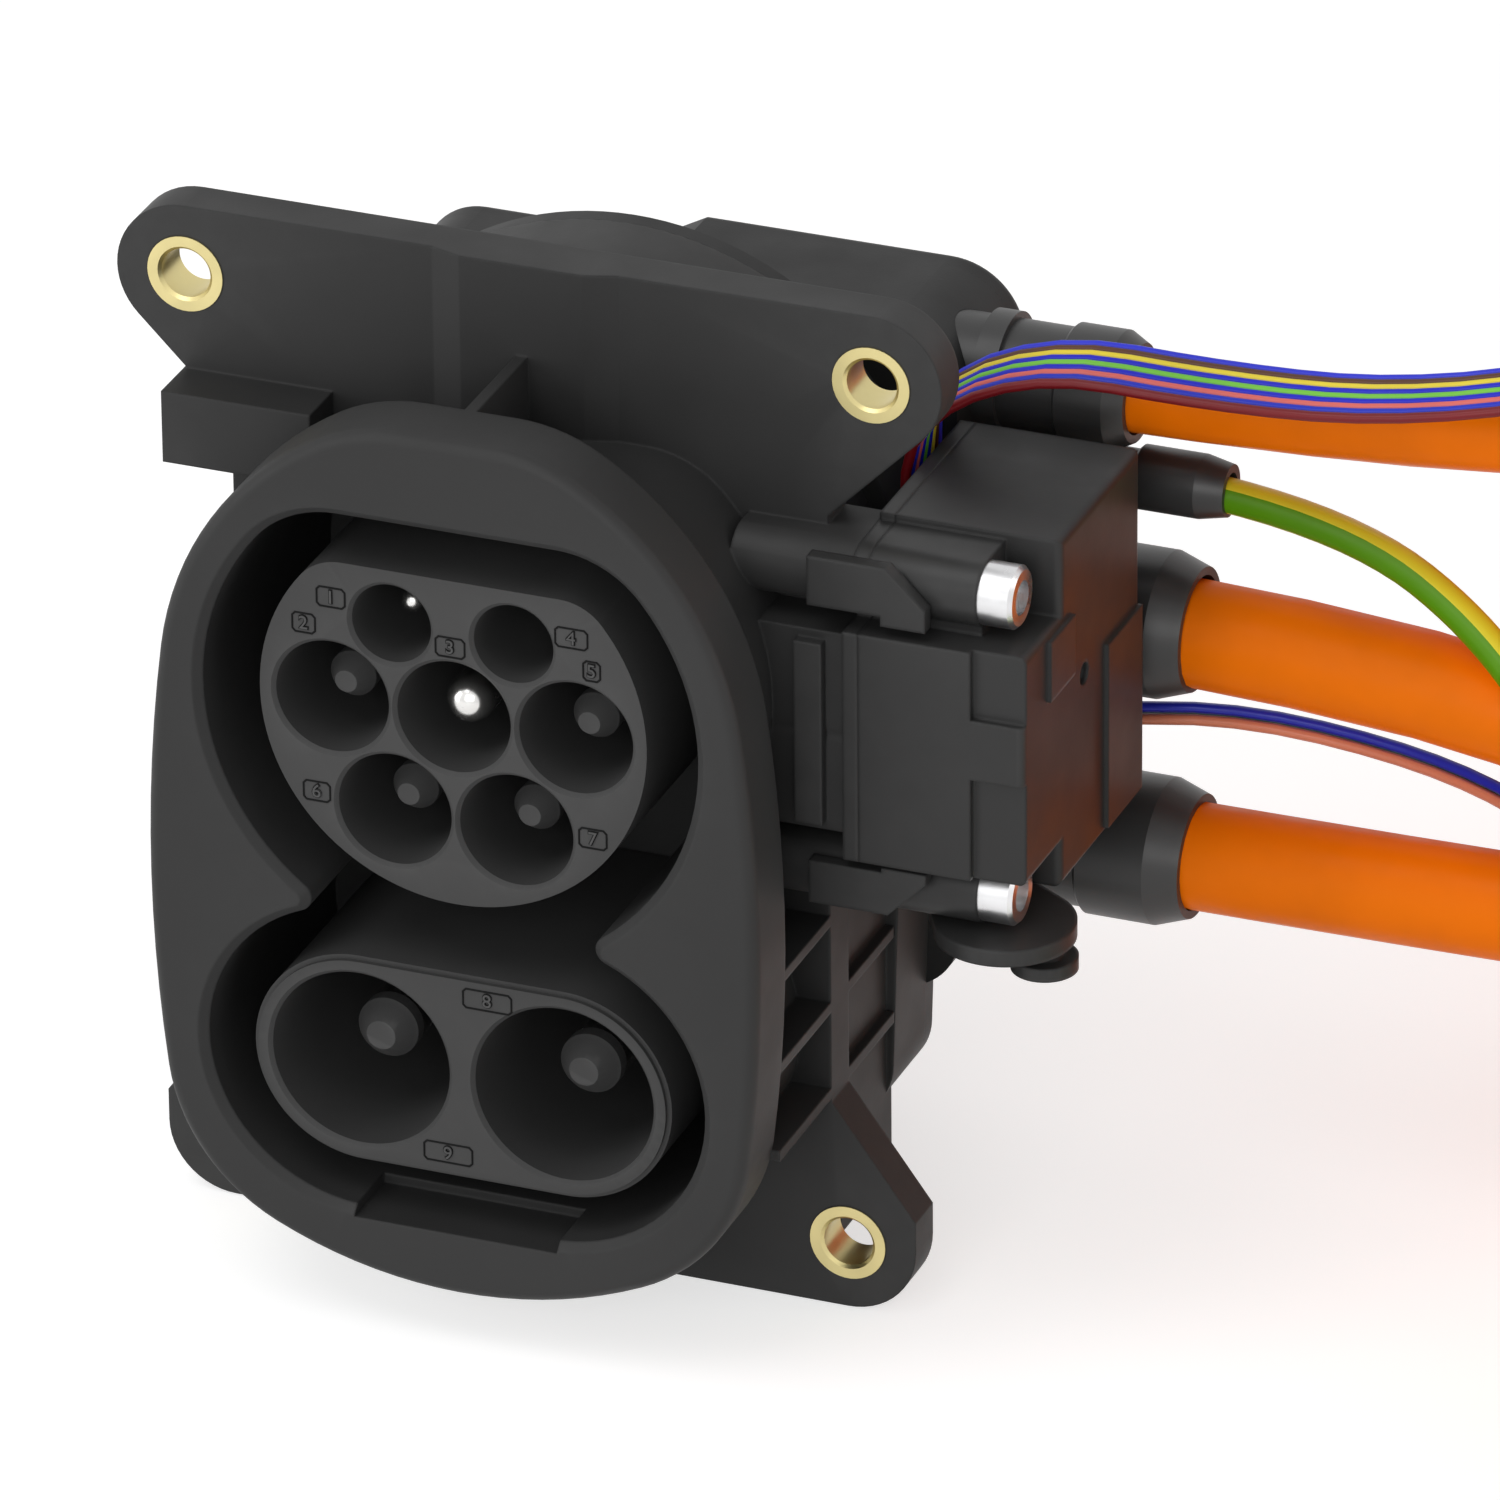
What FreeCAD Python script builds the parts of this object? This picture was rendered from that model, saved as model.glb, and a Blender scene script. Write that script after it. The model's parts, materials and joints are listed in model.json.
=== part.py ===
import FreeCAD, Part
import math
import os
import Sketcher

# Charge port inlet: AC and DC vehicle inlet with a side locking actuator. Millimetres.
# +X to the right seen from the front, +Y into the vehicle, +Z up.
# The origin is on the axis of the earth contact, in the front plane of the flange.

Vector = FreeCAD.Vector
doc = FreeCAD.newDocument("charge_port_inlet")

SIZES = [
    ("pitch", 16.0, "between the outer contacts and the earth contact"),
    ("lower_half", 8.0, "half the spacing of the lower contacts"),
    ("lower_drop", 14.0, "lower contacts below the earth contact"),
    ("pilot_half", 8.0, "half the spacing of the pilot contacts"),
    ("pilot_rise", 11.28, "pilot contacts above the earth contact"),
    ("dc_half", 13.5, "half the spacing of the DC contacts"),
    ("dc_drop", 49.75, "DC contacts below the earth contact"),
    ("face_front", 25.0, "AC insert face in front of the flange"),
    ("dc_face_back", 0.6, "DC insert face behind the AC insert face"),
    ("well_radius", 7.45, "bore round a power contact"),
    ("pilot_well_radius", 5.2, "bore round a pilot contact"),
    ("dc_well_radius", 11.8, "bore round a DC contact"),
    ("well_lead", 0.5, "chamfer at the mouth of a bore"),
    ("well_depth", 36.0, "depth of the contact bores"),
    ("ac_insert_radius", 25.4, "round part of the AC insert"),
    ("ac_insert_top", 18.6, "flat top of the AC insert"),
    ("ac_insert_corner", 7.0, "corners beside the flat top"),
    ("dc_insert_end", 14.15, "end radius of the DC insert"),
    ("insert_rim", 0.6, "small step round the DC insert face"),
    ("insert_foot", 2.4, "foot of an insert beyond its outline"),
    ("insert_foot_thick", 3.0, "thickness of that foot"),
    ("insert_clearance", 0.1, "insert in the web of the housing"),
    ("ac_pin_radius", 3.0, "AC and earth contact pins"),
    ("pilot_pin_radius", 1.5, "pilot contact pins"),
    ("dc_pin_radius", 4.0, "DC contact pins"),
    ("ac_tip_depth", 4.7, "AC tip caps behind the insert face"),
    ("pe_tip_depth", 3.2, "earth pin tip behind the insert face"),
    ("pp_tip_depth", 6.0, "proximity pin tip behind the insert face"),
    ("cp_tip_depth", 10.0, "pilot pin tip behind the insert face"),
    ("dc_tip_depth", 6.8, "DC tip caps behind the DC insert face"),
    ("cap_long", 4.2, "length of a tip cap"),
    ("cap_spigot_long", 3.0, "spigot that holds the cap in its pin"),
    ("cap_taper", 2.4, "conical nose of a tip cap"),
    ("cap_flat", 0.48, "share of a cap's radius that is its flat tip"),
    ("pin_seat_over", 0.3, "thicker seat of a contact in its insert"),
    ("collar_over", 1.5, "contact collar beyond the pin"),
    ("collar_thick", 2.5, "contact collar thickness"),
    ("barrel_long", 7.0, "crimp barrel behind the collar"),
    ("cavity_radius", 32.5, "plug cavity round the AC insert"),
    ("cavity_top", 25.7, "flat top of the plug cavity"),
    ("cavity_corner", 14.0, "corners beside that flat"),
    ("cusp_radius", 2.0, "rounded waist between the two cavities"),
    ("lobe_half", 12.3, "centres of the DC cavity ends"),
    ("lobe_drop", 48.5, "centres of the DC cavity ends below the origin"),
    ("lobe_radius", 20.6, "end radius of the DC cavity"),
    ("cavity_lead", 1.1, "lead-in round the cavity mouth"),
    ("neck_wall", 2.3, "wall of the plug cavity"),
    ("floor_level", 14.0, "cavity floor behind the flange front"),
    ("web_thick", 3.5, "web that carries the inserts"),
    ("step_half", 13.5, "half width of the recess at the bottom of the mouth"),
    ("step_deep", 1.3, "depth of that recess"),
    ("ring_front", 27.1, "ring front before the flange front"),
    ("ring_deep", 9.6, "depth of the ring"),
    ("ring_top", 38.1, "flat top of the ring"),
    ("ring_flat_half", 6.0, "half length of that flat"),
    ("ring_shoulder", 22.0, "shoulder radius"),
    ("ring_cheek", 43.0, "radius between the shoulder and the side"),
    ("ring_side", 222.0, "radius of the long side"),
    ("ring_chin", 25.0, "radius of the lower corner"),
    ("shoulder_turn", 30.0, "heading where the shoulder ends, degrees"),
    ("cheek_turn", 82.0, "heading where the long side starts, degrees"),
    ("side_turn", 97.0, "heading where the long side ends, degrees"),
    ("chin_turn", 155.0, "heading where the bottom arc starts, degrees"),
    ("ring_round", 1.6, "rounded front edge of the ring"),
    ("flange_thick", 6.0, "flange plate"),
    ("top_bolt_half", 45.0, "upper fixing holes from the middle"),
    ("top_bolt_rise", 41.2, "upper fixing holes above the origin"),
    ("low_bolt_half", 41.35, "lower fixing holes from the middle"),
    ("low_bolt_drop", 77.3, "lower fixing holes below the origin"),
    ("top_lobe", 9.1, "radius of the upper flange lobes"),
    ("low_lobe", 9.0, "radius of the lower flange lobes"),
    ("waist_half", 39.3, "half width of the flange between its lobes"),
    ("skirt_corner_drop", 58.0, "where the lower lobes start"),
    ("lobe_shoulder_drop", 73.0, "where the lower lobes reach full width"),
    ("bush_outer", 5.0, "outer radius of a flange bushing"),
    ("bush_bore", 3.25, "bore radius of a flange bushing"),
    ("bush_proud", 0.15, "bushing beyond each side of the flange"),
    ("bush_chamfer", 0.4, "chamfer on the bushing's edges"),
    ("pad_proud", 1.36, "middle pad in front of the flange"),
    ("pad_half", 8.1, "half width of that pad"),
    ("pad_foot_half", 12.2, "half width of the pad with its bevels"),
    ("rib_thick", 1.6, "rib between the pad and the ring"),
    ("ladder_thick", 1.5, "side ribs of the housing"),
    ("ladder_first", 32.0, "first side rib below the origin"),
    ("ladder_pitch", 12.0, "spacing of the side ribs"),
    ("ladder_back", 21.5, "back end of the side ribs"),
    ("skirt_back", 33.0, "back of the housing's skirt"),
    ("skirt_rim_front", 22.0, "front of the wider skirt rim"),
    ("dome_radius", 41.0, "round top of the skirt rim"),
    ("skirt_half", 39.0, "half width of the skirt rim below"),
    ("skirt_bottom", 72.0, "bottom of the skirt rim"),
    ("skirt_step", 2.5, "skirt inside its rim"),
    ("skirt_wall", 2.5, "wall of the skirt"),
    ("lobe_web_thick", 4.0, "web behind each lower lobe"),
    ("lobe_web_back", 23.8, "back of that web"),
    ("lobe_web_bottom", 80.0, "bottom of that web"),
    ("bar_far", 45.5, "far end of the left bar"),
    ("bar_low", 18.8, "underside of the left bar"),
    ("bar_high", 28.4, "top of the left bar"),
    ("bar_proud", 7.2, "left bar in front of the flange"),
    ("boss_level", 2.5, "screw axes in front of the flange"),
    ("top_screw_rise", 17.3, "upper actuator screw above the origin"),
    ("low_screw_drop", 23.0, "lower actuator screw below the origin"),
    ("boss_radius", 4.25, "bosses round the actuator screws"),
    ("boss_start", 29.0, "where the housing bosses leave the neck"),
    ("act_seat", 44.7, "seat of the actuator on the housing"),
    ("act_seat_low", 16.0, "actuator pad below the origin"),
    ("act_seat_high", 11.0, "actuator pad above the origin"),
    ("act_pad_proud", 7.5, "actuator pad in front of the flange"),
    ("clip_start", 38.2, "clip bar on the pad"),
    ("clip_end", 41.8, "outer side of that bar"),
    ("clip_proud", 1.5, "clip bar in front of the pad"),
    ("clip_short", 1.2, "clip bar inside the ends of the pad"),
    ("bolt_level", 4.0, "lock bolt axis in front of the flange"),
    ("bolt_drop", 2.85, "lock bolt axis below the origin"),
    ("bolt_radius", 3.0, "lock bolt"),
    ("bolt_fit", 0.08, "lock bolt in the actuator base"),
    ("bolt_room", 0.4, "lock bolt in the housing"),
    ("bolt_tip", 33.4, "tip of the drawn-back lock bolt"),
    ("base_thick", 2.0, "actuator base plate"),
    ("act_out", 68.2, "outer face of the actuator cover"),
    ("act_front", 9.5, "actuator front before the flange"),
    ("act_step", 3.5, "where the taller rear block starts"),
    ("act_back", 31.0, "back of the actuator"),
    ("act_front_high", 12.3, "front block above the origin"),
    ("act_front_low", 18.6, "front block below the origin"),
    ("act_high", 22.5, "rear block above the origin"),
    ("act_low", 24.5, "rear block below the origin"),
    ("act_wall", 2.0, "wall of the actuator cover"),
    ("screw_seat", 61.0, "seat of the actuator screw heads"),
    ("screw_head", 4.0, "actuator screw head radius"),
    ("screw_head_long", 4.4, "actuator screw head height"),
    ("screw_shank", 2.0, "actuator screw shank radius"),
    ("screw_hole", 2.2, "clearance hole round the shank"),
    ("screw_reach", 10.0, "shank in the housing boss"),
    ("screw_socket", 2.2, "socket in the screw head"),
    ("screw_socket_deep", 1.8, "depth of that socket"),
    ("block_start", 61.3, "recessed blocks on the cover"),
    ("block_back", 1.0, "blocks behind the cover front"),
    ("tongue_low", 4.8, "tongue between the blocks, below the origin"),
    ("tongue_high", 3.2, "tongue between the blocks, above the origin"),
    ("cheek_proud", 0.6, "raised fields on the outer face"),
    ("arm_start", 40.0, "bracket arms over the screw bosses"),
    ("arm_end", 55.3, "outer end of the arms"),
    ("arm_thick", 2.0, "thickness of the arms"),
    ("arm_gap", 0.3, "arms in front of the bosses"),
    ("gear_module", 1.0, "tooth size of rack and wheels"),
    ("gear_teeth", 15, "teeth of the drive gear"),
    ("pinion_teeth", 10, "teeth of the motor pinion"),
    ("tooth_slack", 0.5, "play between the teeth"),
    ("tooth_tip", 0.8, "tooth beyond the pitch line, in modules"),
    ("tooth_root", 1.05, "tooth gap below the pitch line, in modules"),
    ("tooth_slope", 20.0, "slope of the tooth sides, degrees"),
    ("gear_face", 5.0, "width of the toothed wheels"),
    ("gear_axis", 56.3, "gear shaft from the middle of the inlet"),
    ("gear_depth", 6.0, "gear shaft behind the flange front"),
    ("shaft_radius", 2.5, "gear shaft"),
    ("shaft_fit", 0.06, "running fit of shafts"),
    ("bearing_wall", 2.0, "wall round the gear shaft"),
    ("axial_gap", 0.3, "room beside a turning wheel"),
    ("rack_start", 53.9, "inner end of the rack"),
    ("rack_long", 11.9, "length of the rack"),
    ("rack_back", 3.0, "front of the rack bar before the bolt axis"),
    ("motor_radius", 8.2, "motor can"),
    ("motor_long", 19.0, "motor can length"),
    ("motor_shaft", 1.0, "motor shaft radius"),
    ("lever_gap", 0.5, "lever below the lower screw boss"),
    ("lever_thick", 2.2, "release lever plate"),
    ("lever_hub", 6.5, "lever round the shaft"),
    ("lever_end_x", 62.5, "round end of the lever"),
    ("lever_end_y", 0.6, "round end before the flange front"),
    ("lever_end_radius", 8.8, "radius of the lever's round end"),
    ("post_x", 67.6, "cord post of the lever"),
    ("post_radius", 2.3, "neck of the cord post"),
    ("post_long", 1.8, "neck length"),
    ("post_foot", 4.2, "foot of the cord post"),
    ("post_foot_thick", 1.8, "foot thickness"),
    ("rear_plate", 2.5, "front plate of the rear housing"),
    ("rear_back", 54.5, "back of the rear housing"),
    ("rear_wall", 2.5, "wall of the rear housing"),
    ("rear_right", 43.5, "right side of the rear housing"),
    ("rear_left", 37.0, "left side of the rear housing"),
    ("rear_top", 31.5, "top of the rear housing"),
    ("rear_shoulder", 28.0, "lower top on the left"),
    ("rear_bottom", 58.5, "bottom of the rear housing"),
    ("rear_corner", 10.0, "rounded corners of the rear housing"),
    ("cover_thick", 4.0, "rear cover"),
    ("cover_round", 2.0, "rounded edge of the rear cover"),
    ("lug_radius", 4.0, "screw lugs of the rear housing"),
    ("rear_screw", 1.5, "rear cover screw shank radius"),
    ("rear_screw_head", 3.0, "rear cover screw head radius"),
    ("rear_screw_head_long", 2.2, "rear cover screw head height"),
    ("rear_screw_reach", 9.0, "shank in the rear housing"),
    ("lead_level", 45.0, "cable axes behind the flange front"),
    ("ac_rise", 22.9, "AC cable above the origin"),
    ("pe_rise", 11.6, "earth cable above the origin"),
    ("dc_top_drop", 8.2, "upper DC cable below the origin"),
    ("dc_low_drop", 39.8, "lower DC cable below the origin"),
    ("ac_cable", 5.2, "AC cable radius"),
    ("pe_cable", 2.25, "earth cable radius"),
    ("dc_cable", 6.85, "DC cable radius"),
    ("ac_gland", 6.9, "AC gland radius"),
    ("pe_gland", 3.4, "earth gland radius"),
    ("dc_gland", 8.7, "DC gland radius"),
    ("gland_collar", 0.85, "gland collar beyond the gland"),
    ("collar_long", 3.0, "gland collar length"),
    ("ac_gland_end", 57.0, "outer end of the AC gland"),
    ("pe_gland_end", 66.0, "outer end of the earth gland"),
    ("dc_gland_end", 60.5, "outer end of the DC glands"),
    ("ac_boot_long", 6.0, "AC boot length"),
    ("pe_boot_long", 9.0, "earth boot length"),
    ("dc_boot_long", 10.5, "DC boot length"),
    ("boot_wall", 1.1, "boot end round its cable"),
    ("boot_over", 0.7, "boot beyond its gland"),
    ("gland_inside", 2.5, "gland inside the rear housing"),
    ("gland_fit", 0.05, "gland in its hole and round its cable"),
    ("boot_grip", 3.0, "boot over the end of its gland"),
    ("boot_taper", 0.4, "share of a boot that narrows to its cable"),
    ("lead_start", 36.5, "inner ends of the cables"),
    ("bus_spot_wide", 5.0, "radius of the bus bar pads on the DC contacts"),
    ("bus_thick", 3.0, "DC bus bar thickness"),
    ("bus_front", 43.5, "front face of the bus bars"),
    ("lug_wall", 1.6, "crimped lug round its cable"),
    ("wire_gland", 3.5, "radius of the sensor wire gland"),
    ("wire_depth", 47.0, "sensor wires behind the flange front"),
    ("wire_drop", 24.0, "sensor wires below the origin"),
    ("wire_bundle", 1.6, "radius of the bundle of sensor wires"),
    ("ribbon_wide", 12.6, "nine signal wires side by side"),
    ("ribbon_thick", 1.4, "signal wire diameter"),
    ("duct_wall", 1.2, "wall of the signal wire duct"),
    ("floor_drop", 86.5, "surface on which the inlet stands"),
    ("coil_x", 168.0, "centre of the coiled cables"),
    ("coil_front_y", 5.0, "centre of the thin cables' coils"),
    ("dc_coil_radius", 68.5, "coiled DC cables"),
    ("dc_turns", 4, "turns of each DC cable"),
    ("ac_coil_radius", 59.2, "middle of the coiled AC cable"),
    ("ac_rows", 2, "layers of the coiled AC cable"),
    ("pe_coil_radius", 25.0, "middle of the coiled earth cable"),
    ("pe_rows", 6, "layers of the coiled earth cable"),
    ("wire_coil_radius", 17.0, "middle of the coiled sensor wires"),
    ("wire_rows", 10, "layers of the coiled sensor wires"),
    ("ribbon_coil_radius", 62.0, "middle of the coiled signal wires"),
    ("ribbon_bundle", 5.0, "signal wires gathered round for their coil"),
    ("ribbon_rows", 2, "layers of the coiled signal wires"),
]

sheet = doc.addObject("Spreadsheet::Sheet", "sizes")
for row, (alias, number, note) in enumerate(SIZES, start=1):
    sheet.set(f"A{row}", note)
    sheet.set(f"B{row}", str(number))
    sheet.setAlias(f"B{row}", alias)
doc.recompute()


def text_of(value):
    """The expression of a size, or a plain number as text."""
    return value.text if isinstance(value, Size) else repr(float(value))


def number_of(value):
    """The number of a size, or the plain number itself."""
    return value.number if isinstance(value, Size) else float(value)


SHARE_OF_RUN = 0.45
SQUARE = ((-1, -1), (1, -1), (1, 1), (-1, 1))

# The cables' routes, from inside the rear housing to the coils.
DC_PLUS_ROUTE = [(36.5, 45, -8.2), (100, 45, -8.2), (161, 45, -24.4)]
DC_MINUS_ROUTE = [(36.5, 45, -39.8), (100, 45, -39.8), (162, 45, -38.55)]
AC_ROUTE = [(36.5, 45, 22.9), (85, 45, 22.9), (134, 45, 28.4), (163, 45, 28.3)]
PE_ROUTE = [
    (60, 45, 11.6),
    (88, 45, 11.6),
    (114, 39, -1),
    (131, 29, -23),
    (142, 29.5, -44),
    (153, 31.5, -57),
    (167, 32.2, -61.75),
]
WIRE_ROUTE = [
    (40, 47, -24),
    (54, 47, -24),
    (73, 52, -22.5),
    (95, 55.3, -26),
    (112, 50, -27.5),
    (125, 41, -29.5),
    (138, 35.5, -36),
    (149, 33, -44),
    (158, 27, -52),
    (167, 23.7, -56.1),
]
RIBBON_ROUTE = [
    (42.2, 24, -2),
    (42.2, 24, 12),
    (41.5, 26, 27),
    (57, 28.5, 34.5),
    (77, 30, 33.2),
    (98, 30.5, 34),
    (120, 34, 38),
    (138, 42, 46),
    (162, 47.2, 48.9),
]

class Size:
    """A number together with the sheet expression that gives it."""

    def __init__(self, number, text):
        self.number = float(number)
        self.text = text

    def __add__(self, other):
        return Size(self.number + number_of(other), f"({self.text} + {text_of(other)})")

    __radd__ = __add__

    def __sub__(self, other):
        return Size(self.number - number_of(other), f"({self.text} - {text_of(other)})")

    def __rsub__(self, other):
        return Size(number_of(other) - self.number, f"({text_of(other)} - {self.text})")

    def __mul__(self, other):
        return Size(self.number * number_of(other), f"({self.text} * {text_of(other)})")

    __rmul__ = __mul__

    def __truediv__(self, other):
        return Size(self.number / number_of(other), f"({self.text} / {text_of(other)})")

    def __neg__(self):
        return Size(-self.number, f"(-1 * {self.text})")


def root(value):
    """The square root of a size."""
    return Size(math.sqrt(value.number), f"sqrt({value.text})")


def sine(degrees):
    """The sine of an angle in degrees."""
    return Size(math.sin(math.radians(number_of(degrees))), f"sin({text_of(degrees)})")


def cosine(degrees):
    """The cosine of an angle in degrees."""
    return Size(math.cos(math.radians(number_of(degrees))), f"cos({text_of(degrees)})")


def tangent(degrees):
    """The tangent of an angle in degrees."""
    return sine(degrees) / cosine(degrees)


S = {alias: Size(number, f"sizes.{alias}") for alias, number, note in SIZES}


def bind(thing, prop, value):
    """Ties a property to the sheet."""
    thing.setExpression(prop, text_of(value))


def new_body(label):
    """An empty body whose label names its file."""
    body = doc.addObject("PartDesign::Body", label)
    body.Label = label
    return body


def sketch_on(body, name, role, level):
    """A sketch on one of the body's origin planes, moved along its normal to the level."""
    sketch = body.newObject("Sketcher::SketchObject", name)
    plane = next(f for f in body.Origin.OriginFeatures if f.Role == role)
    sketch.AttachmentSupport = [(plane, "")]
    sketch.MapMode = "FlatFace"
    bind(sketch, "AttachmentOffset.Base.z", level)
    return sketch


def front_sketch(body, name, y):
    """A sketch in X and Z at the depth y; its pads and pockets go to the back."""
    return sketch_on(body, name, "XZ_Plane", -1 * y)


def side_sketch(body, name, x):
    """A sketch in Y and Z at x; its pads go to +X."""
    return sketch_on(body, name, "YZ_Plane", x)


def plan_sketch(body, name, z):
    """A sketch in X and Y at the height z; its pads go up."""
    return sketch_on(body, name, "XY_Plane", z)


def fix(sketch, kind, value, *where):
    """Adds a constraint whose value is tied to the sheet."""
    name = f"{kind}_{sketch.ConstraintCount}"
    index = sketch.addConstraint(Sketcher.Constraint(kind, *where, number_of(value)))
    sketch.renameConstraint(index, name)
    bind(sketch, f"Constraints.{name}", value)


def arc_between(start, end, radius, turn):
    """The short arc from start to end; turn is 1 to the left and -1 to the right."""
    chord = end - start
    middle = (start + end) * 0.5
    left = Vector(-chord.y, chord.x, 0).normalize()
    away = math.sqrt(max(radius * radius - chord.Length**2 / 4, 0.0))
    centre = middle + left * (away * turn)
    first, last = (start, end) if turn > 0 else (end, start)
    angles = [math.atan2((p - centre).y, (p - centre).x) for p in (first, last)]
    circle = Part.Circle(centre, Vector(0, 0, 1), radius)
    return Part.ArcOfCircle(circle, angles[0], angles[1])


def draw(sketch, path):
    """Closed outline. Each corner is x, y, and the radius and turn of the edge that ends there."""
    base = sketch.GeometryCount
    points = [Vector(number_of(c[0]), number_of(c[1]), 0) for c in path]
    ends = []
    for k, (x, y, radius, turn) in enumerate(path):
        start, end = points[k - 1], points[k]
        if radius is None:
            sketch.addGeometry(Part.LineSegment(start, end), False)
        else:
            sketch.addGeometry(arc_between(start, end, number_of(radius), turn), False)
        ends.append((2, 1) if radius is None or turn > 0 else (1, 2))
    for k, (x, y, radius, turn) in enumerate(path):
        following = (k + 1) % len(path)
        joint = (base + k, ends[k][0], base + following, ends[following][1])
        sketch.addConstraint(Sketcher.Constraint("Coincident", *joint))
        fix(sketch, "DistanceX", x, -1, 1, base + k, ends[k][0])
        fix(sketch, "DistanceY", y, -1, 1, base + k, ends[k][0])
        if radius is not None:
            fix(sketch, "Radius", radius, base + k)


def ring_hole(sketch, x, y, radius):
    """A full circle in a sketch."""
    index = sketch.GeometryCount
    centre = Vector(number_of(x), number_of(y), 0)
    sketch.addGeometry(Part.Circle(centre, Vector(0, 0, 1), number_of(radius)), False)
    fix(sketch, "DistanceX", x, -1, 1, index, 3)
    fix(sketch, "DistanceY", y, -1, 1, index, 3)
    fix(sketch, "Radius", radius, index)


def feature(body, kind, name, sketch, length, reversed_=False):
    """A pad or pocket of one sketch."""
    made = body.newObject(f"PartDesign::{kind}", name)
    made.Profile = sketch
    made.Reversed = reversed_
    bind(made, "Length", length)
    sketch.Visibility = False
    return made


def to_back(body, name, sketch, length):
    """Material from a front sketch towards the back."""
    return feature(body, "Pad", name, sketch, length, True)


def cut_back(body, name, sketch, length):
    """A pocket from a front sketch towards the back."""
    return feature(body, "Pocket", name, sketch, length)


def box(x0, x1, y0, y1):
    """A rectangle as an outline."""
    return [(x0, y0, None, 0), (x1, y0, None, 0), (x1, y1, None, 0), (x0, y1, None, 0)]


def mirrored(half, bottom=(None, 0)):
    """Closes the right half of an outline with its mirror image."""
    left = []
    for k in range(len(half) - 1, -1, -1):
        edge = bottom if k == len(half) - 1 else half[k + 1][2:]
        left.append((-1 * half[k][0], half[k][1], *edge))
    return half + left


def flat_topped(radius, top, corner):
    """A circle with a flat top and rounded corners beside the flat."""
    across = root((radius - corner) * (radius - corner) - (top - corner) * (top - corner))
    reach = radius / (radius - corner)
    start = [(across, top, None, 0), (across * reach, (top - corner) * reach, corner, -1)]
    low = [(0, -1 * radius, radius, -1)]
    left = [(-1 * across * reach, (top - corner) * reach, radius, -1)]
    return start + low + left + [(-1 * across, top, corner, -1)]


def stadium(half, drop, radius):
    """Two half circles side by side, joined by straight lines."""
    return [
        (half, radius - drop, None, 0),
        (half + radius, -1 * drop, radius, -1),
        (half, -1 * drop - radius, radius, -1),
        (-1 * half, -1 * drop - radius, None, 0),
        (-1 * half - radius, -1 * drop, radius, -1),
        (-1 * half, radius - drop, radius, -1),
    ]


def edges_along(shape, outline):
    """Names of the edges of a shape that lie on an outline."""
    names = []
    for k, edge in enumerate(shape.Edges, start=1):
        middle = edge.valueAt((edge.FirstParameter + edge.LastParameter) / 2)
        if outline.distToShape(Part.Vertex(middle))[0] < 0.001:
            names.append(f"Edge{k}")
    return names


def dress(body, kind, name, base, outline, size):
    """A fillet or chamfer along an outline of the shape made so far."""
    doc.recompute()
    made = body.newObject(f"PartDesign::{kind}", name)
    made.Base = (base, edges_along(base.Shape, outline))
    bind(made, "Radius" if kind == "Fillet" else "Size", size)
    return made


TURNS = {
    "+x": FreeCAD.Rotation(Vector(0, 1, 0), 90),
    "-x": FreeCAD.Rotation(Vector(0, 1, 0), -90),
    "+y": FreeCAD.Rotation(Vector(1, 0, 0), -90),
    "-y": FreeCAD.Rotation(Vector(1, 0, 0), 90),
    "+z": FreeCAD.Rotation(),
}


def place(thing, axis, x, y, z):
    """Turns a piece's own Z axis along an axis of the inlet and moves it there."""
    thing.Placement = FreeCAD.Placement(Vector(0, 0, 0), TURNS[axis])
    bind(thing, "Placement.Base.x", x)
    bind(thing, "Placement.Base.y", y)
    bind(thing, "Placement.Base.z", z)


def turned(label, axis, spot, profile):
    """A turned piece. Its profile goes by radius and distance along its own axis."""
    body = new_body(label)
    sketch = sketch_on(body, "profile", "XZ_Plane", 0)
    draw(sketch, [corner if len(corner) == 4 else (*corner, None, 0) for corner in profile])
    revolution = body.newObject("PartDesign::Revolution", "revolution")
    revolution.Profile = sketch
    revolution.ReferenceAxis = (sketch, ["V_Axis"])
    revolution.Angle = 360
    place(body, axis, *spot)
    return body


def grouped(label, pieces):
    """Separate like pieces in one node."""
    group = doc.addObject("Part::Compound", label)
    group.Label = label
    group.Links = pieces
    return group


def arc_step(x, z, radius, start, end):
    """The end of an arc that starts with one heading and ends with another."""
    return (
        x + radius * (sine(end) - sine(start)),
        z + radius * (cosine(end) - cosine(start)),
        radius,
        -1,
    )


def ring_outline():
    """The ring: a flat top, then arcs that run into each other down to the bottom."""
    top = (S["ring_flat_half"], S["ring_top"], None, 0)
    shoulder = arc_step(top[0], top[1], S["ring_shoulder"], 0, S["shoulder_turn"])
    cheek = arc_step(*shoulder[:2], S["ring_cheek"], S["shoulder_turn"], S["cheek_turn"])
    side = arc_step(*cheek[:2], S["ring_side"], S["cheek_turn"], S["side_turn"])
    chin = arc_step(*side[:2], S["ring_chin"], S["side_turn"], S["chin_turn"])
    return mirrored([top, shoulder, cheek, side, chin], (chin[0] / sine(S["chin_turn"]), -1))


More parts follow.
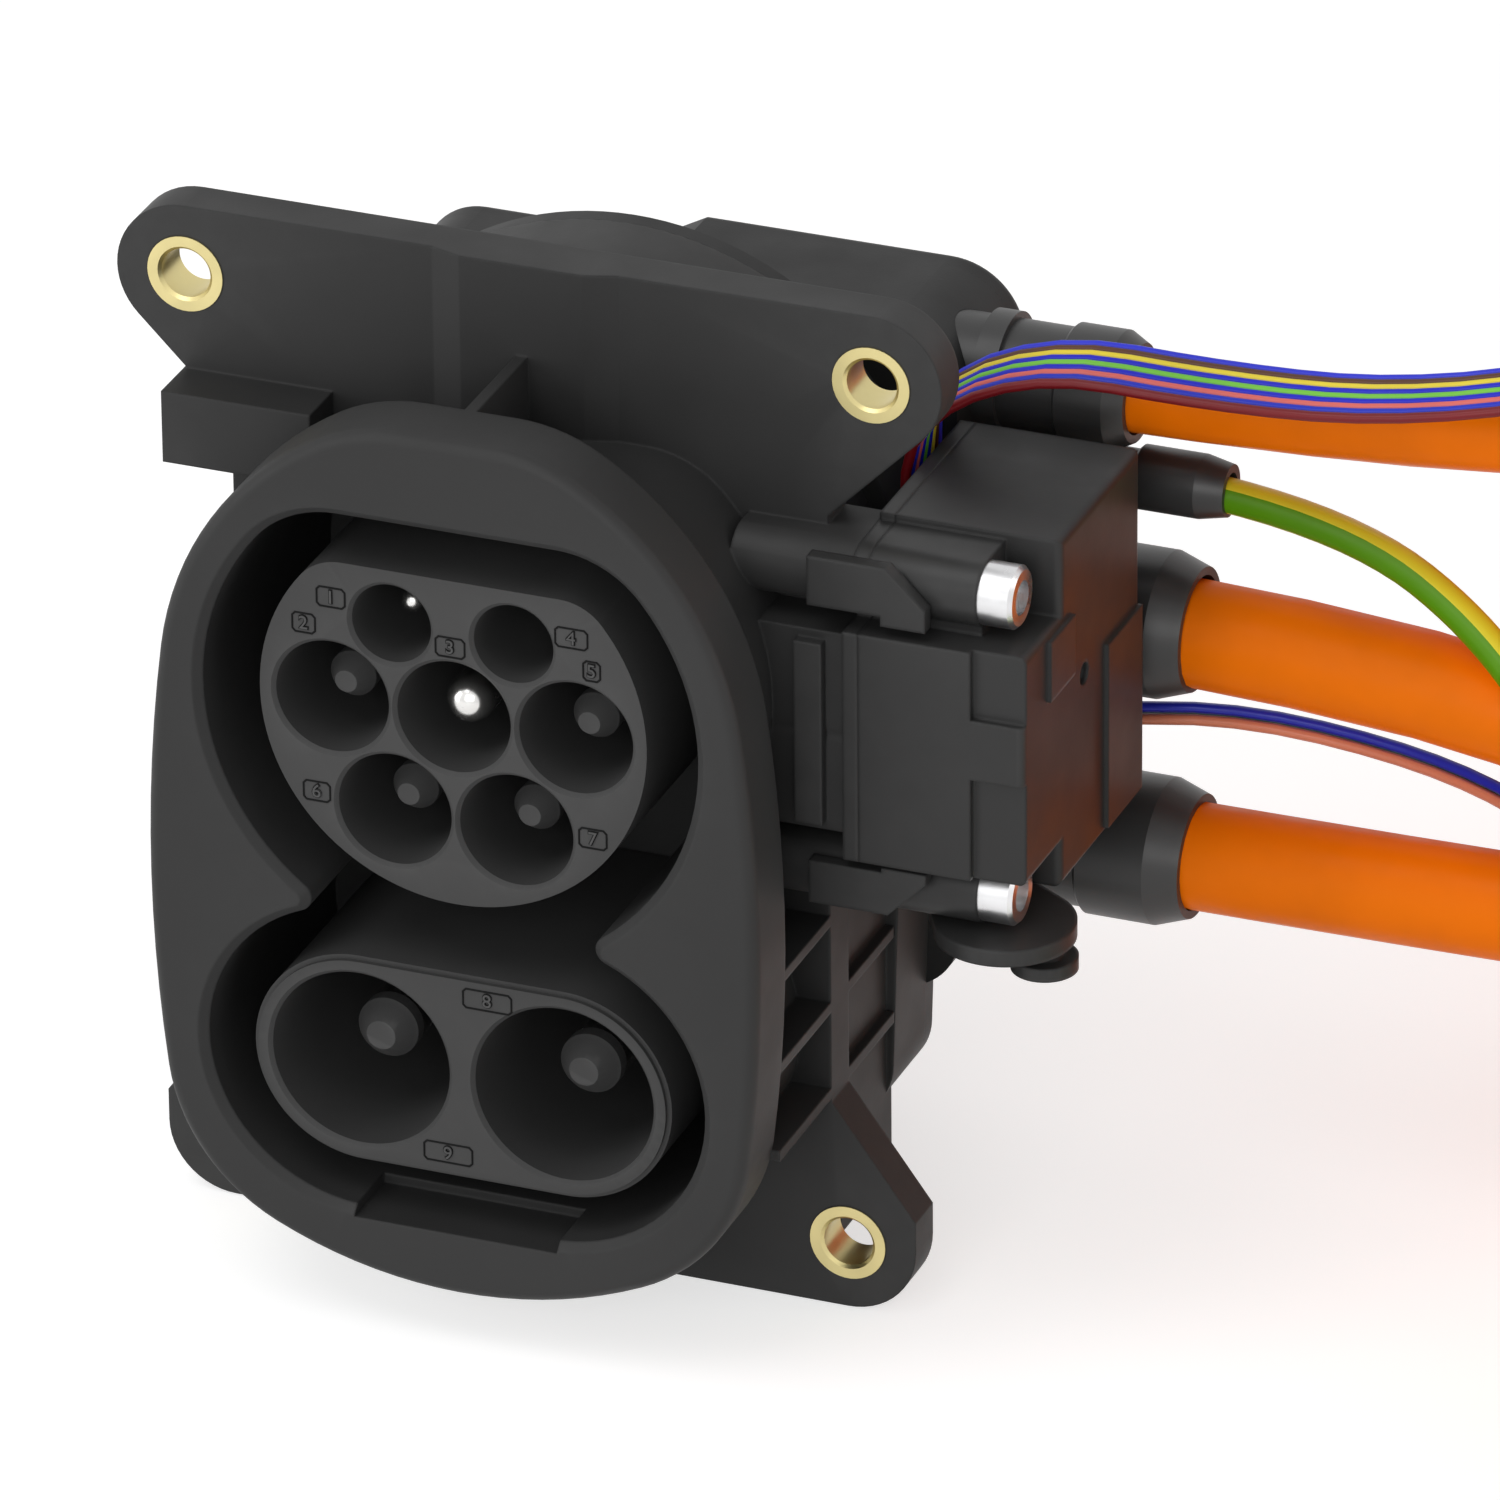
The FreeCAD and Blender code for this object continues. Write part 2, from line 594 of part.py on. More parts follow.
def cavity_outline():
    """The plug cavity: the AC circle and the DC ends, with a rounded cusp between them."""
    radius, top, corner = S["cavity_radius"], S["cavity_top"], S["cavity_corner"]
    half, drop, lobe, cusp = S["lobe_half"], S["lobe_drop"], S["lobe_radius"], S["cusp_radius"]
    across = root((radius - corner) * (radius - corner) - (top - corner) * (top - corner))
    reach = radius / (radius - corner)
    apart = root(half * half + drop * drop)
    near, far = radius + cusp, lobe + cusp
    along = (near * near - far * far + apart * apart) / (2 * apart)
    aside = root(near * near - along * along)
    cusp_x = (half * along + drop * aside) / apart
    cusp_z = (half * aside - drop * along) / apart
    return mirrored(
        [
            (across, top, None, 0),
            (across * reach, (top - corner) * reach, corner, -1),
            (cusp_x * (radius / near), cusp_z * (radius / near), radius, -1),
            (half + (cusp_x - half) * (lobe / far), (cusp_z + drop) * (lobe / far) - drop, cusp, 1),
            (half, -1 * drop - lobe, lobe, -1),
        ]
    )


def flange_outline():
    """The flange: round lobes at the four fixings, slanted edges and a narrow waist."""
    lobe, low = S["top_lobe"], S["low_lobe"]
    slant = lobe * sine(45)
    top_x, top_z = S["top_bolt_half"] + slant, S["top_bolt_rise"] - slant
    waist = S["waist_half"]
    return mirrored(
        [
            (S["top_bolt_half"], S["top_bolt_rise"] + lobe, None, 0),
            (S["top_bolt_half"] + lobe, S["top_bolt_rise"], lobe, -1),
            (top_x, top_z, lobe, -1),
            (waist, top_z - top_x + waist, None, 0),
            (waist, -1 * S["skirt_corner_drop"], None, 0),
            (S["low_bolt_half"] + low, -1 * S["lobe_shoulder_drop"], None, 0),
            (S["low_bolt_half"] + low, -1 * S["low_bolt_drop"], None, 0),
            (S["low_bolt_half"], -1 * S["low_bolt_drop"] - low, low, -1),
        ]
    )


def dome_outline(inset, corner):
    """The rear of the housing: a round top over straight sides."""
    radius, half = S["dome_radius"] - inset, S["skirt_half"] - inset
    bottom = S["skirt_bottom"] - inset
    return [
        (radius, 0, radius, -1),
        (half, corner - bottom, None, 0),
        (half - corner, -1 * bottom, corner, -1),
        (corner - half, -1 * bottom, None, 0),
        (-1 * half, corner - bottom, corner, -1),
        (-1 * radius, 0, None, 0),
        (0, radius, radius, -1),
    ]


def outline_pad(body, name, y, path, length):
    """Material behind an outline that lies at the depth y."""
    sketch = front_sketch(body, f"{name}_outline", y)
    draw(sketch, path)
    return to_back(body, name, sketch, length)


def outline_cut(body, name, y, path, length):
    """A recess behind an outline that lies at the depth y."""
    sketch = front_sketch(body, f"{name}_outline", y)
    draw(sketch, path)
    return cut_back(body, name, sketch, length)


def side_pad(body, name, x, path, length):
    """Material to the right of an outline in Y and Z that lies at x."""
    sketch = side_sketch(body, f"{name}_outline", x)
    draw(sketch, path)
    return feature(body, "Pad", name, sketch, length)


def side_boss(body, name, x, y, z, radius, length):
    """A round boss along X."""
    sketch = side_sketch(body, f"{name}_outline", x)
    ring_hole(sketch, y, z, radius)
    return feature(body, "Pad", name, sketch, length)


def side_bore(body, name, x, y, z, radius, length):
    """A round hole that goes from x towards -X."""
    sketch = side_sketch(body, f"{name}_outline", x)
    ring_hole(sketch, y, z, radius)
    return feature(body, "Pocket", name, sketch, length)


def plan_pad(body, name, z, path, length):
    """Material under an outline in X and Y that lies at the height z."""
    sketch = plan_sketch(body, f"{name}_outline", z)
    draw(sketch, path)
    return feature(body, "Pad", name, sketch, length, True)


def fixings():
    """The middles of the four flange fixings."""
    top, low = S["top_bolt_rise"], -1 * S["low_bolt_drop"]
    return [
        (S["top_bolt_half"], top),
        (-1 * S["top_bolt_half"], top),
        (S["low_bolt_half"], low),
        (-1 * S["low_bolt_half"], low),
    ]


def screw_spots():
    """The heights of the two actuator screws."""
    return [S["top_screw_rise"], -1 * S["low_screw_drop"]]


def make_main_housing():
    """Front ring, plug cavity, flange, side ribs, actuator bosses and rear skirt in one moulding."""
    body = new_body("main_housing")
    ring_y = -1 * S["ring_front"]
    ring_back = S["ring_deep"] - S["ring_front"]
    outline_pad(body, "flange", 0, flange_outline(), S["flange_thick"])
    skirt_long = S["skirt_back"] - S["flange_thick"]
    step = S["skirt_step"]
    outline_pad(body, "skirt", S["flange_thick"], dome_outline(step, 6), skirt_long)
    rim_long = S["skirt_back"] - S["skirt_rim_front"]
    outline_pad(body, "skirt_rim", S["skirt_rim_front"], dome_outline(0, 8), rim_long)
    neck = S["neck_wall"]
    ac_neck = flat_topped(S["cavity_radius"] + neck, S["cavity_top"] + neck, S["cavity_corner"])
    outline_pad(body, "ac_neck", ring_back - 1, ac_neck, 1 - ring_back)
    dc_neck = stadium(S["lobe_half"], S["lobe_drop"], S["lobe_radius"] + neck)
    outline_pad(body, "dc_neck", ring_back - 1, dc_neck, 1 - ring_back)

    flange_top = S["top_bolt_rise"] + S["top_lobe"]
    middle_pad = [
        (S["pad_foot_half"], 0, None, 0),
        (S["pad_half"], -1 * S["pad_proud"], None, 0),
        (-1 * S["pad_half"], -1 * S["pad_proud"], None, 0),
        (-1 * S["pad_foot_half"], 0, None, 0),
    ]
    plan_pad(body, "middle_pad", flange_top, middle_pad, flange_top - S["cavity_top"])
    rib = box(ring_back, 0, S["cavity_top"], S["ring_top"])
    side_pad(body, "middle_rib", S["rib_thick"] * -0.5, rib, S["rib_thick"])

    ladder_in = S["lobe_half"] + S["neck_wall"] + 11
    for k in range(3):
        level = -1 * S["ladder_first"] - k * S["ladder_pitch"]
        for side in (1, -1):
            path = box(side * ladder_in, side * S["waist_half"], ring_back, S["ladder_back"])
            plan_pad(body, f"side_rib_{k}_{side + 1}", level, path, S["ladder_thick"])
    web_in = S["skirt_half"] - S["lobe_web_thick"] - S["skirt_step"]
    for side in (1, -1):
        path = box(side * web_in, side * (S["skirt_half"] - 1), S["flange_thick"], S["lobe_web_back"])
        web_long = S["lobe_web_bottom"] - S["ladder_first"]
        plan_pad(body, f"lobe_web_{side + 1}", -1 * S["ladder_first"], path, web_long)

    bar = box(-1 * S["bar_proud"], S["flange_thick"], S["bar_low"], S["bar_high"])
    side_pad(body, "left_bar", -1 * S["bar_far"], bar, S["bar_far"] - S["cavity_top"])
    boss_long = S["act_seat"] - S["boss_start"]
    for k, z in enumerate(screw_spots()):
        side_boss(body, f"boss_{k}", S["boss_start"], -1 * S["boss_level"], z, S["boss_radius"], boss_long)
        foot = box(-1 * S["boss_level"], S["flange_thick"], z - S["boss_radius"], z + S["boss_radius"])
        side_pad(body, f"boss_foot_{k}", S["boss_start"], foot, boss_long)
    seat = box(-1 * S["act_pad_proud"], S["flange_thick"], -1 * S["act_seat_low"], S["act_seat_high"])
    side_pad(body, "actuator_pad", S["boss_start"], seat, boss_long)
    clip = box(
        -1 * S["act_pad_proud"] - S["clip_proud"],
        0,
        S["clip_short"] - S["act_seat_low"],
        S["act_seat_high"] - S["clip_short"],
    )
    side_pad(body, "clip_bar", S["clip_start"], clip, S["clip_end"] - S["clip_start"])
    ring = outline_pad(body, "ring", ring_y, ring_outline(), S["ring_deep"])
    ring_edge = ring.Profile[0]
    doc.recompute()
    dress(body, "Fillet", "ring_round", ring, ring_edge.Shape, S["ring_round"])

    cavity_long = S["ring_front"] + S["floor_level"]
    cavity = outline_cut(body, "cavity", ring_y, cavity_outline(), cavity_long)
    doc.recompute()
    dress(body, "Chamfer", "cavity_lead", cavity, cavity.Profile[0].Shape, S["cavity_lead"])
    low = -1 * S["lobe_drop"] - S["lobe_radius"]
    step_path = box(-1 * S["step_half"], S["step_half"], low - S["step_deep"], low + 3)
    outline_cut(body, "mouth_step", ring_y, step_path, S["ring_deep"])
    loose = S["insert_clearance"]
    ac_hole = flat_topped(S["ac_insert_radius"] + loose, S["ac_insert_top"] + loose, S["ac_insert_corner"])
    outline_cut(body, "ac_opening", S["floor_level"] - 1, ac_hole, S["web_thick"] + 2)
    dc_hole = stadium(S["dc_half"], S["dc_drop"], S["dc_insert_end"] + loose)
    outline_cut(body, "dc_opening", S["floor_level"] - 1, dc_hole, S["web_thick"] + 2)
    hollow_y = S["floor_level"] + S["web_thick"]
    inset = S["skirt_step"] + S["skirt_wall"]
    outline_cut(body, "skirt_hollow", hollow_y, dome_outline(inset, 4), S["skirt_back"] - hollow_y)

    sketch = front_sketch(body, "bushing_holes_outline", 0)
    for x, z in fixings():
        ring_hole(sketch, x, z, S["bush_outer"])
    cut_back(body, "bushing_holes", sketch, S["flange_thick"] + 2 * S["bush_proud"])
    for k, z in enumerate(screw_spots()):
        spot = (S["act_seat"], -1 * S["boss_level"], z)
        side_bore(body, f"screw_hole_{k}", *spot, S["screw_shank"], S["screw_reach"] + 1)
    bolt_spot = (S["act_seat"], -1 * S["bolt_level"], -1 * S["bolt_drop"])
    passage = S["act_seat"] - S["ac_insert_radius"]
    side_bore(body, "bolt_passage", *bolt_spot, S["bolt_radius"] + S["bolt_room"], passage)
    return body


def power_spots():
    """Names and places of the five power contacts of the AC insert."""
    low = -1 * S["lower_drop"]
    return {
        "l1": (-1 * S["pitch"], 0),
        "pe": (0, 0),
        "n": (S["pitch"], 0),
        "l2": (-1 * S["lower_half"], low),
        "l3": (S["lower_half"], low),
    }


def pilot_spots():
    """Names and places of the two pilot contacts."""
    return {
        "pp": (-1 * S["pilot_half"], S["pilot_rise"]),
        "cp": (S["pilot_half"], S["pilot_rise"]),
    }


def dc_spots():
    """Names and places of the two DC contacts."""
    low = -1 * S["dc_drop"]
    return {"dc_plus": (-1 * S["dc_half"], low), "dc_minus": (S["dc_half"], low)}


def foot_level():
    """The back of the insert feet, where the contact collars sit."""
    return S["floor_level"] + S["web_thick"] + S["insert_foot_thick"]


def bored(body, name, y, spots, radius, length):
    """One pocket with a round hole at each spot."""
    sketch = front_sketch(body, f"{name}_outline", y)
    for x, z in spots:
        ring_hole(sketch, x, z, radius)
    return cut_back(body, name, sketch, length)


def make_ac_insert():
    """The round insert with its seven contact wells."""
    body = new_body("ac_insert")
    front = -1 * S["face_front"]
    whole = S["face_front"] + foot_level()
    path = flat_topped(S["ac_insert_radius"], S["ac_insert_top"], S["ac_insert_corner"])
    outline_pad(body, "core", front, path, whole)
    more = S["insert_foot"]
    foot = flat_topped(S["ac_insert_radius"] + more, S["ac_insert_top"] + more, S["ac_insert_corner"])
    outline_pad(body, "foot", S["floor_level"] + S["web_thick"], foot, S["insert_foot_thick"])
    power, pilot = power_spots().values(), pilot_spots().values()
    more = S["pin_seat_over"]
    bored(body, "power_pins", front, power, S["ac_pin_radius"] + more, whole)
    bored(body, "pilot_pins", front, pilot, S["pilot_pin_radius"] + more, whole)
    wells = bored(body, "power_wells", front, power, S["well_radius"], S["well_depth"])
    lead = dress_after(body, "power_lead", wells)
    pilot_wells = bored(body, "pilot_wells", front, pilot, S["pilot_well_radius"], S["well_depth"])
    pilot_wells.BaseFeature = lead
    dress_after(body, "pilot_lead", pilot_wells)
    return body


def dress_after(body, name, cut):
    """A small chamfer round the mouths of the holes that a pocket made."""
    doc.recompute()
    return dress(body, "Chamfer", name, cut, cut.Profile[0].Shape, S["well_lead"])


def make_dc_insert():
    """The lower insert with its two contact wells."""
    body = new_body("dc_insert")
    front = S["dc_face_back"] - S["face_front"]
    whole = foot_level() - front
    rim = S["insert_rim"]
    face = stadium(S["dc_half"], S["dc_drop"], S["dc_insert_end"] - rim)
    outline_pad(body, "face", front, face, whole)
    core = stadium(S["dc_half"], S["dc_drop"], S["dc_insert_end"])
    outline_pad(body, "core", front + rim, core, whole - rim)
    foot = stadium(S["dc_half"], S["dc_drop"], S["dc_insert_end"] + S["insert_foot"])
    outline_pad(body, "foot", S["floor_level"] + S["web_thick"], foot, S["insert_foot_thick"])
    spots = dc_spots().values()
    bored(body, "dc_pins", front, spots, S["dc_pin_radius"] + S["pin_seat_over"], whole)
    wells = bored(body, "dc_wells", front, spots, S["dc_well_radius"], S["well_depth"])
    dress_after(body, "dc_lead", wells)
    return body


def contact(name, spot, radius, tip, floor, domed):
    """A turned pin with a seat in the insert, a collar behind it and a crimp barrel."""
    seat = floor - tip
    collar = foot_level() - tip
    barrel = radius + 0.8
    shoulder = collar + S["collar_thick"]
    end = shoulder + S["barrel_long"]
    over = radius + S["collar_over"]
    bore = radius * 0.4
    if domed:
        front = [(0, 0, None, 0), (radius, radius, radius, 1)]
    else:
        spigot = S["cap_spigot_long"]
        front = [(0, spigot, None, 0), (bore, spigot, None, 0), (bore, 0, None, 0), (radius, 0, None, 0)]
    thick = radius + S["pin_seat_over"]
    tail = [
        (radius, seat, None, 0),
        (thick, seat, None, 0),
        (thick, collar, None, 0),
        (over, collar, None, 0),
        (over, shoulder, None, 0),
        (barrel, shoulder, None, 0),
        (barrel, end, None, 0),
        (0, end, None, 0),
    ]
    return turned(f"contact_{name}", "+y", (spot[0], tip, spot[1]), front + tail)


def tip_cap(name, spot, radius, tip):
    """The touch-proof plastic cap on the end of a pin."""
    spigot = S["cap_long"] + S["cap_spigot_long"]
    bore = radius * 0.4
    profile = [
        (0, 0, None, 0),
        (radius * S["cap_flat"], 0, None, 0),
        (radius, S["cap_taper"], None, 0),
        (radius, S["cap_long"], None, 0),
        (bore, S["cap_long"], None, 0),
        (bore, spigot, None, 0),
        (0, spigot, None, 0),
    ]
    return turned(f"tip_cap_{name}", "+y", (spot[0], tip, spot[1]), profile)


def make_contacts():
    """All pins, with caps where the real ones have them."""
    made = []
    front = -1 * S["face_front"]
    floor = front + S["well_depth"]
    for name, spot in power_spots().items():
        radius = S["ac_pin_radius"]
        if name == "pe":
            made.append(contact(name, spot, radius, front + S["pe_tip_depth"], floor, True))
            continue
        tip = front + S["ac_tip_depth"]
        made.append(tip_cap(name, spot, radius, tip))
        made.append(contact(name, spot, radius, tip + S["cap_long"], floor, False))
    depths = {"pp": S["pp_tip_depth"], "cp": S["cp_tip_depth"]}
    for name, spot in pilot_spots().items():
        made.append(contact(name, spot, S["pilot_pin_radius"], front + depths[name], floor, True))
    floor += S["dc_face_back"]
    for name, spot in dc_spots().items():
        tip = front + S["dc_face_back"] + S["dc_tip_depth"]
        made.append(tip_cap(name, spot, S["dc_pin_radius"], tip))
        made.append(contact(name, spot, S["dc_pin_radius"], tip + S["cap_long"], floor, False))
    return made


def make_bushings():
    """The four brass sleeves in the flange."""
    bore, outer, edge = S["bush_bore"], S["bush_outer"], S["bush_chamfer"]
    end = S["flange_thick"] + 2 * S["bush_proud"]
    profile = [
        (bore + edge, 0),
        (outer, 0),
        (outer, end),
        (bore + edge, end),
        (bore, end - edge),
        (bore, edge),
    ]
    pieces = []
    for k, (x, z) in enumerate(fixings()):
        pieces.append(turned(f"bushing_{k + 1}", "+y", (x, -1 * S["bush_proud"], z), profile))
    return grouped("mounting_bushings", pieces)



def actuator_outline(inset):
    """The actuator seen from its side: a low front block and a taller rear block."""
    front, step, back = inset - S["act_front"], S["act_step"] + inset, S["act_back"] - inset
    return [
        (front, S["act_front_high"] - inset, None, 0),
        (step, S["act_front_high"] - inset, None, 0),
        (step, S["act_high"] - inset, None, 0),
        (back, S["act_high"] - inset, None, 0),
        (back, inset - S["act_low"], None, 0),
        (step, inset - S["act_low"], None, 0),
        (step, inset - S["act_front_low"], None, 0),
        (front, inset - S["act_front_low"], None, 0),
    ]


def cover_seam():
    """Where the actuator cover meets its base."""
    return S["act_seat"] + S["base_thick"]


def add_screw_bosses(body, x, length, join):
    """Bosses round the two screws, each joined to the block beside it."""
    level, radius = -1 * S["boss_level"], S["boss_radius"]
    inside = {0: S["act_front_high"] - 1, 1: 1 - S["act_front_low"]}
    for k, z in enumerate(screw_spots()):
        side_boss(body, f"boss_{k}", x, level, z, radius, length)
        far = z + radius if k == 0 else z - radius
        foot = [
            (level - join, inside[k], None, 0),
            (S["act_step"] + 1, inside[k], None, 0),
            (S["act_step"] + 1, far, None, 0),
            (level, far, None, 0),
            (level - join, z, None, 0),
        ]
        side_pad(body, f"boss_foot_{k}", x, foot, length)


def drill_screw_holes(body, x, length):
    """Clearance holes for the two screws, from x towards -X."""
    for k, z in enumerate(screw_spots()):
        side_bore(body, f"screw_hole_{k}", x, -1 * S["boss_level"], z, S["screw_hole"], length)


def make_actuator_base():
    """The plate of the actuator that seats on the housing, with arms over the screw bosses."""
    body = new_body("actuator_base")
    seat = S["act_seat"]
    side_pad(body, "plate", seat, actuator_outline(0), S["base_thick"])
    add_screw_bosses(body, seat, S["base_thick"], 2.0)
    bolt = (cover_seam(), -1 * S["bolt_level"], -1 * S["bolt_drop"])
    side_bore(body, "bolt_guide", *bolt, S["bolt_radius"] + S["bolt_fit"], S["base_thick"])
    front = -1 * S["boss_level"] - S["boss_radius"] - S["arm_gap"]
    high, low = screw_spots()
    reach = S["boss_radius"]
    add_arm(body, "high_arm", front, (high - 3.6, high - 2.3, high + reach), 1)
    add_arm(body, "low_arm", front, (low + 3.8, low + 3.2, low - 2.5), -1)
    for name, z in (("high_stem", high), ("low_stem", low)):
        stem = box(front - 0.5, front + S["arm_gap"] + 1, z - 1.6, z + 1.6)
        side_pad(body, name, seat, stem, S["base_thick"])
    drill_screw_holes(body, cover_seam(), S["base_thick"])
    return body


def add_arm(body, name, front, levels, side):
    """A flat arm in front of a screw boss, with its outer corner cut off."""
    near, step, far = levels
    start, end, cut = S["arm_start"], S["arm_end"], 5
    path = [
        (start, step, None, 0),
        (cover_seam() + 2.8, step, None, 0),
        (cover_seam() + 2.8, near, None, 0),
        (end, near, None, 0),
        (end, far - side * cut, None, 0),
        (end - cut, far, None, 0),
        (start, far, None, 0),
    ]
    outline_pad(body, name, front - S["arm_thick"], path, S["arm_thick"])


def make_actuator_cover():
    """The moulded cover: stepped blocks, screw bosses, raised fields and the gear bearing."""
    body = new_body("actuator_cover")
    seam, out, wall = cover_seam(), S["act_out"], S["act_wall"]
    shell = side_pad(body, "shell", seam, actuator_outline(0), out - seam)
    doc.recompute()
    rim = shell.Shape.copy()
    far = [e for e in rim.Edges if all(abs(v.X - out.number) < 0.001 for v in e.Vertexes)]
    dress(body, "Fillet", "shell_round", shell, Part.Compound(far), 1.0)
    add_screw_bosses(body, seam, S["screw_seat"] - seam, 2.0)
    low = box(
        S["act_back"] - 12.5, S["act_back"] - 0.5, 1 - S["act_low"], S["tongue_high"] - 1.5
    )
    side_pad(body, "low_field", out, low, S["cheek_proud"])
    high = box(-1 * S["boss_level"] + 1, S["act_step"] + 3.5, S["tongue_high"], S["act_front_high"] - 1)
    side_pad(body, "high_field", out, high, S["cheek_proud"])
    for name, z0, z1 in (
        ("high_block", S["tongue_high"], S["act_front_high"] + 1),
        ("low_block", -1 * S["act_front_low"] - 1, -1 * S["tongue_low"]),
    ):
        path = box(S["block_start"], out + 1, z0, z1)
        outline_cut(body, name, -1 * S["act_front"], path, S["block_back"])
    side_sketch_x = out - wall
    sketch = side_sketch(body, "hollow_outline", side_sketch_x)
    draw(sketch, actuator_outline(wall))
    feature(body, "Pocket", "hollow", sketch, side_sketch_x - seam)
    wheel_low = -1 * S["bolt_drop"] - S["gear_face"] * 0.5
    bearing_top = wheel_low - S["axial_gap"]
    sketch = plan_sketch(body, "bearing_outline", bearing_top)
    ring_hole(sketch, S["gear_axis"], S["gear_depth"], S["shaft_radius"] + S["bearing_wall"])
    feature(body, "Pad", "bearing", sketch, bearing_top + S["act_low"] - 0.5, True)
    sketch = plan_sketch(body, "bearing_bore_outline", bearing_top)
    ring_hole(sketch, S["gear_axis"], S["gear_depth"], S["shaft_radius"] + S["shaft_fit"])
    under = S["low_screw_drop"] + S["boss_radius"] + 0.5
    feature(body, "Pocket", "bearing_bore", sketch, bearing_top + under)
    sketch = side_sketch(body, "vent_outline", out)
    ring_hole(sketch, S["act_step"] + 8, 1, 1.5)
    feature(body, "Pocket", "vent", sketch, wall * 0.5)
    drill_screw_holes(body, S["screw_seat"], S["screw_seat"] - seam)
    return body


def make_actuator_screws():
    """Two steel screws with round heads and a round socket."""
    head, long = S["screw_head"], S["screw_head_long"]
    shank_end = long + S["screw_seat"] - S["act_seat"] + S["screw_reach"]
    socket, edge = S["screw_socket"], 0.5
    profile = [
        (0, S["screw_socket_deep"]),
        (socket, S["screw_socket_deep"]),
        (socket, 0),
        (head - edge, 0),
        (head, edge),
        (head, long),
        (S["screw_shank"], long),
        (S["screw_shank"], shank_end),
        (0, shank_end),
    ]
    top = S["screw_seat"] + long
    return grouped(
        "actuator_screws",
        [
            turned(f"actuator_screw_{k + 1}", "-x", (top, -1 * S["boss_level"], z), profile)
            for k, z in enumerate(screw_spots())
        ],
    )


def tooth_half_width(height):
    """Half the width of a tooth, at a height above the pitch line."""
    whole = S["gear_module"] * (math.pi / 2) - S["tooth_slack"]
    return whole * 0.5 - height * tangent(S["tooth_slope"])


def tooth_path(x, pitch_y, deeper=0):
    """One straight-sided tooth that points to -Y from its pitch line."""
    tip, base = S["gear_module"] * S["tooth_tip"], S["gear_module"] * S["tooth_root"] + deeper
    return [
        (x - tooth_half_width(tip), pitch_y - tip, None, 0),
        (x + tooth_half_width(tip), pitch_y - tip, None, 0),
        (x + tooth_half_width(-1 * base), pitch_y + base, None, 0),
        (x - tooth_half_width(-1 * base), pitch_y + base, None, 0),
    ]


def pitch_radius(teeth):
    """The pitch radius of a wheel."""
    return S[teeth] * S["gear_module"] * 0.5


def toothed_wheel(label, teeth, shaft_radius, shaft_low, shaft_high):
    """A toothed wheel on its own shaft, round its own Z axis."""
    body = new_body(label)
    half = S["gear_face"] * 0.5
    pitch = pitch_radius(teeth)
    sketch = plan_sketch(body, "blank_outline", half)
    ring_hole(sketch, 0, 0, pitch - S["gear_module"] * S["tooth_root"])
    feature(body, "Pad", "blank", sketch, S["gear_face"], True)
    sketch = plan_sketch(body, "shaft_outline", shaft_high)
    ring_hole(sketch, 0, 0, shaft_radius)
    feature(body, "Pad", "shaft", sketch, shaft_high - shaft_low, True)
    tooth = plan_pad(body, "tooth", half, tooth_path(0, -1 * pitch, 0.4), S["gear_face"])
    doc.recompute()
    pattern = body.newObject("PartDesign::PolarPattern", "teeth")
    pattern.Originals = [tooth]
    axis = next(f for f in body.Origin.OriginFeatures if f.Role == "Z_Axis")
    pattern.Axis = (axis, [""])
    pattern.Angle = 360
    bind(pattern, "Occurrences", S[teeth])
    body.Tip = pattern
    return body


def lever_top():
    """The upper face of the release lever."""
    return -1 * S["low_screw_drop"] - S["boss_radius"] - S["lever_gap"]


def make_drive_gear():
    """The gear that moves the rack; its shaft goes down to the release lever."""
    centre = -1 * S["bolt_drop"]
    low = lever_top() - S["lever_thick"] - centre
    body = toothed_wheel("drive_gear", "gear_teeth", S["shaft_radius"], low, S["gear_face"] * 0.5)
    place(body, "+z", S["gear_axis"], S["gear_depth"], centre)
    return body


def motor_low():
    """The underside of the motor, whose top lies against the cover."""
    return S["act_high"] - S["act_wall"] - S["motor_long"]


def motor_depth():
    """The motor axis: the pinion is in mesh behind the drive gear."""
    return S["gear_depth"] + pitch_radius("gear_teeth") + pitch_radius("pinion_teeth")


def make_motor_pinion():
    """The pinion and the motor shaft that carries it."""
    centre = -1 * S["bolt_drop"]
    high = motor_low() + 6 - centre
    low = S["gear_face"] * -0.5
    body = toothed_wheel("motor_pinion", "pinion_teeth", S["motor_shaft"], low, high)
    place(body, "+z", S["gear_axis"], motor_depth(), centre)
    return body


def make_motor():
    """The can of the small motor, with the hole for its shaft."""
    bore, nose = S["motor_shaft"] + S["shaft_fit"], S["motor_shaft"] + 2
    profile = [
        (bore, 0),
        (nose, 0),
        (nose, 0.8),
        (S["motor_radius"] - 0.5, 0.8),
        (S["motor_radius"], 1.3),
        (S["motor_radius"], S["motor_long"]),
        (0, S["motor_long"]),
        (0, 7),
        (bore, 7),
    ]
    return turned("motor", "+z", (S["gear_axis"], motor_depth(), motor_low()), profile)


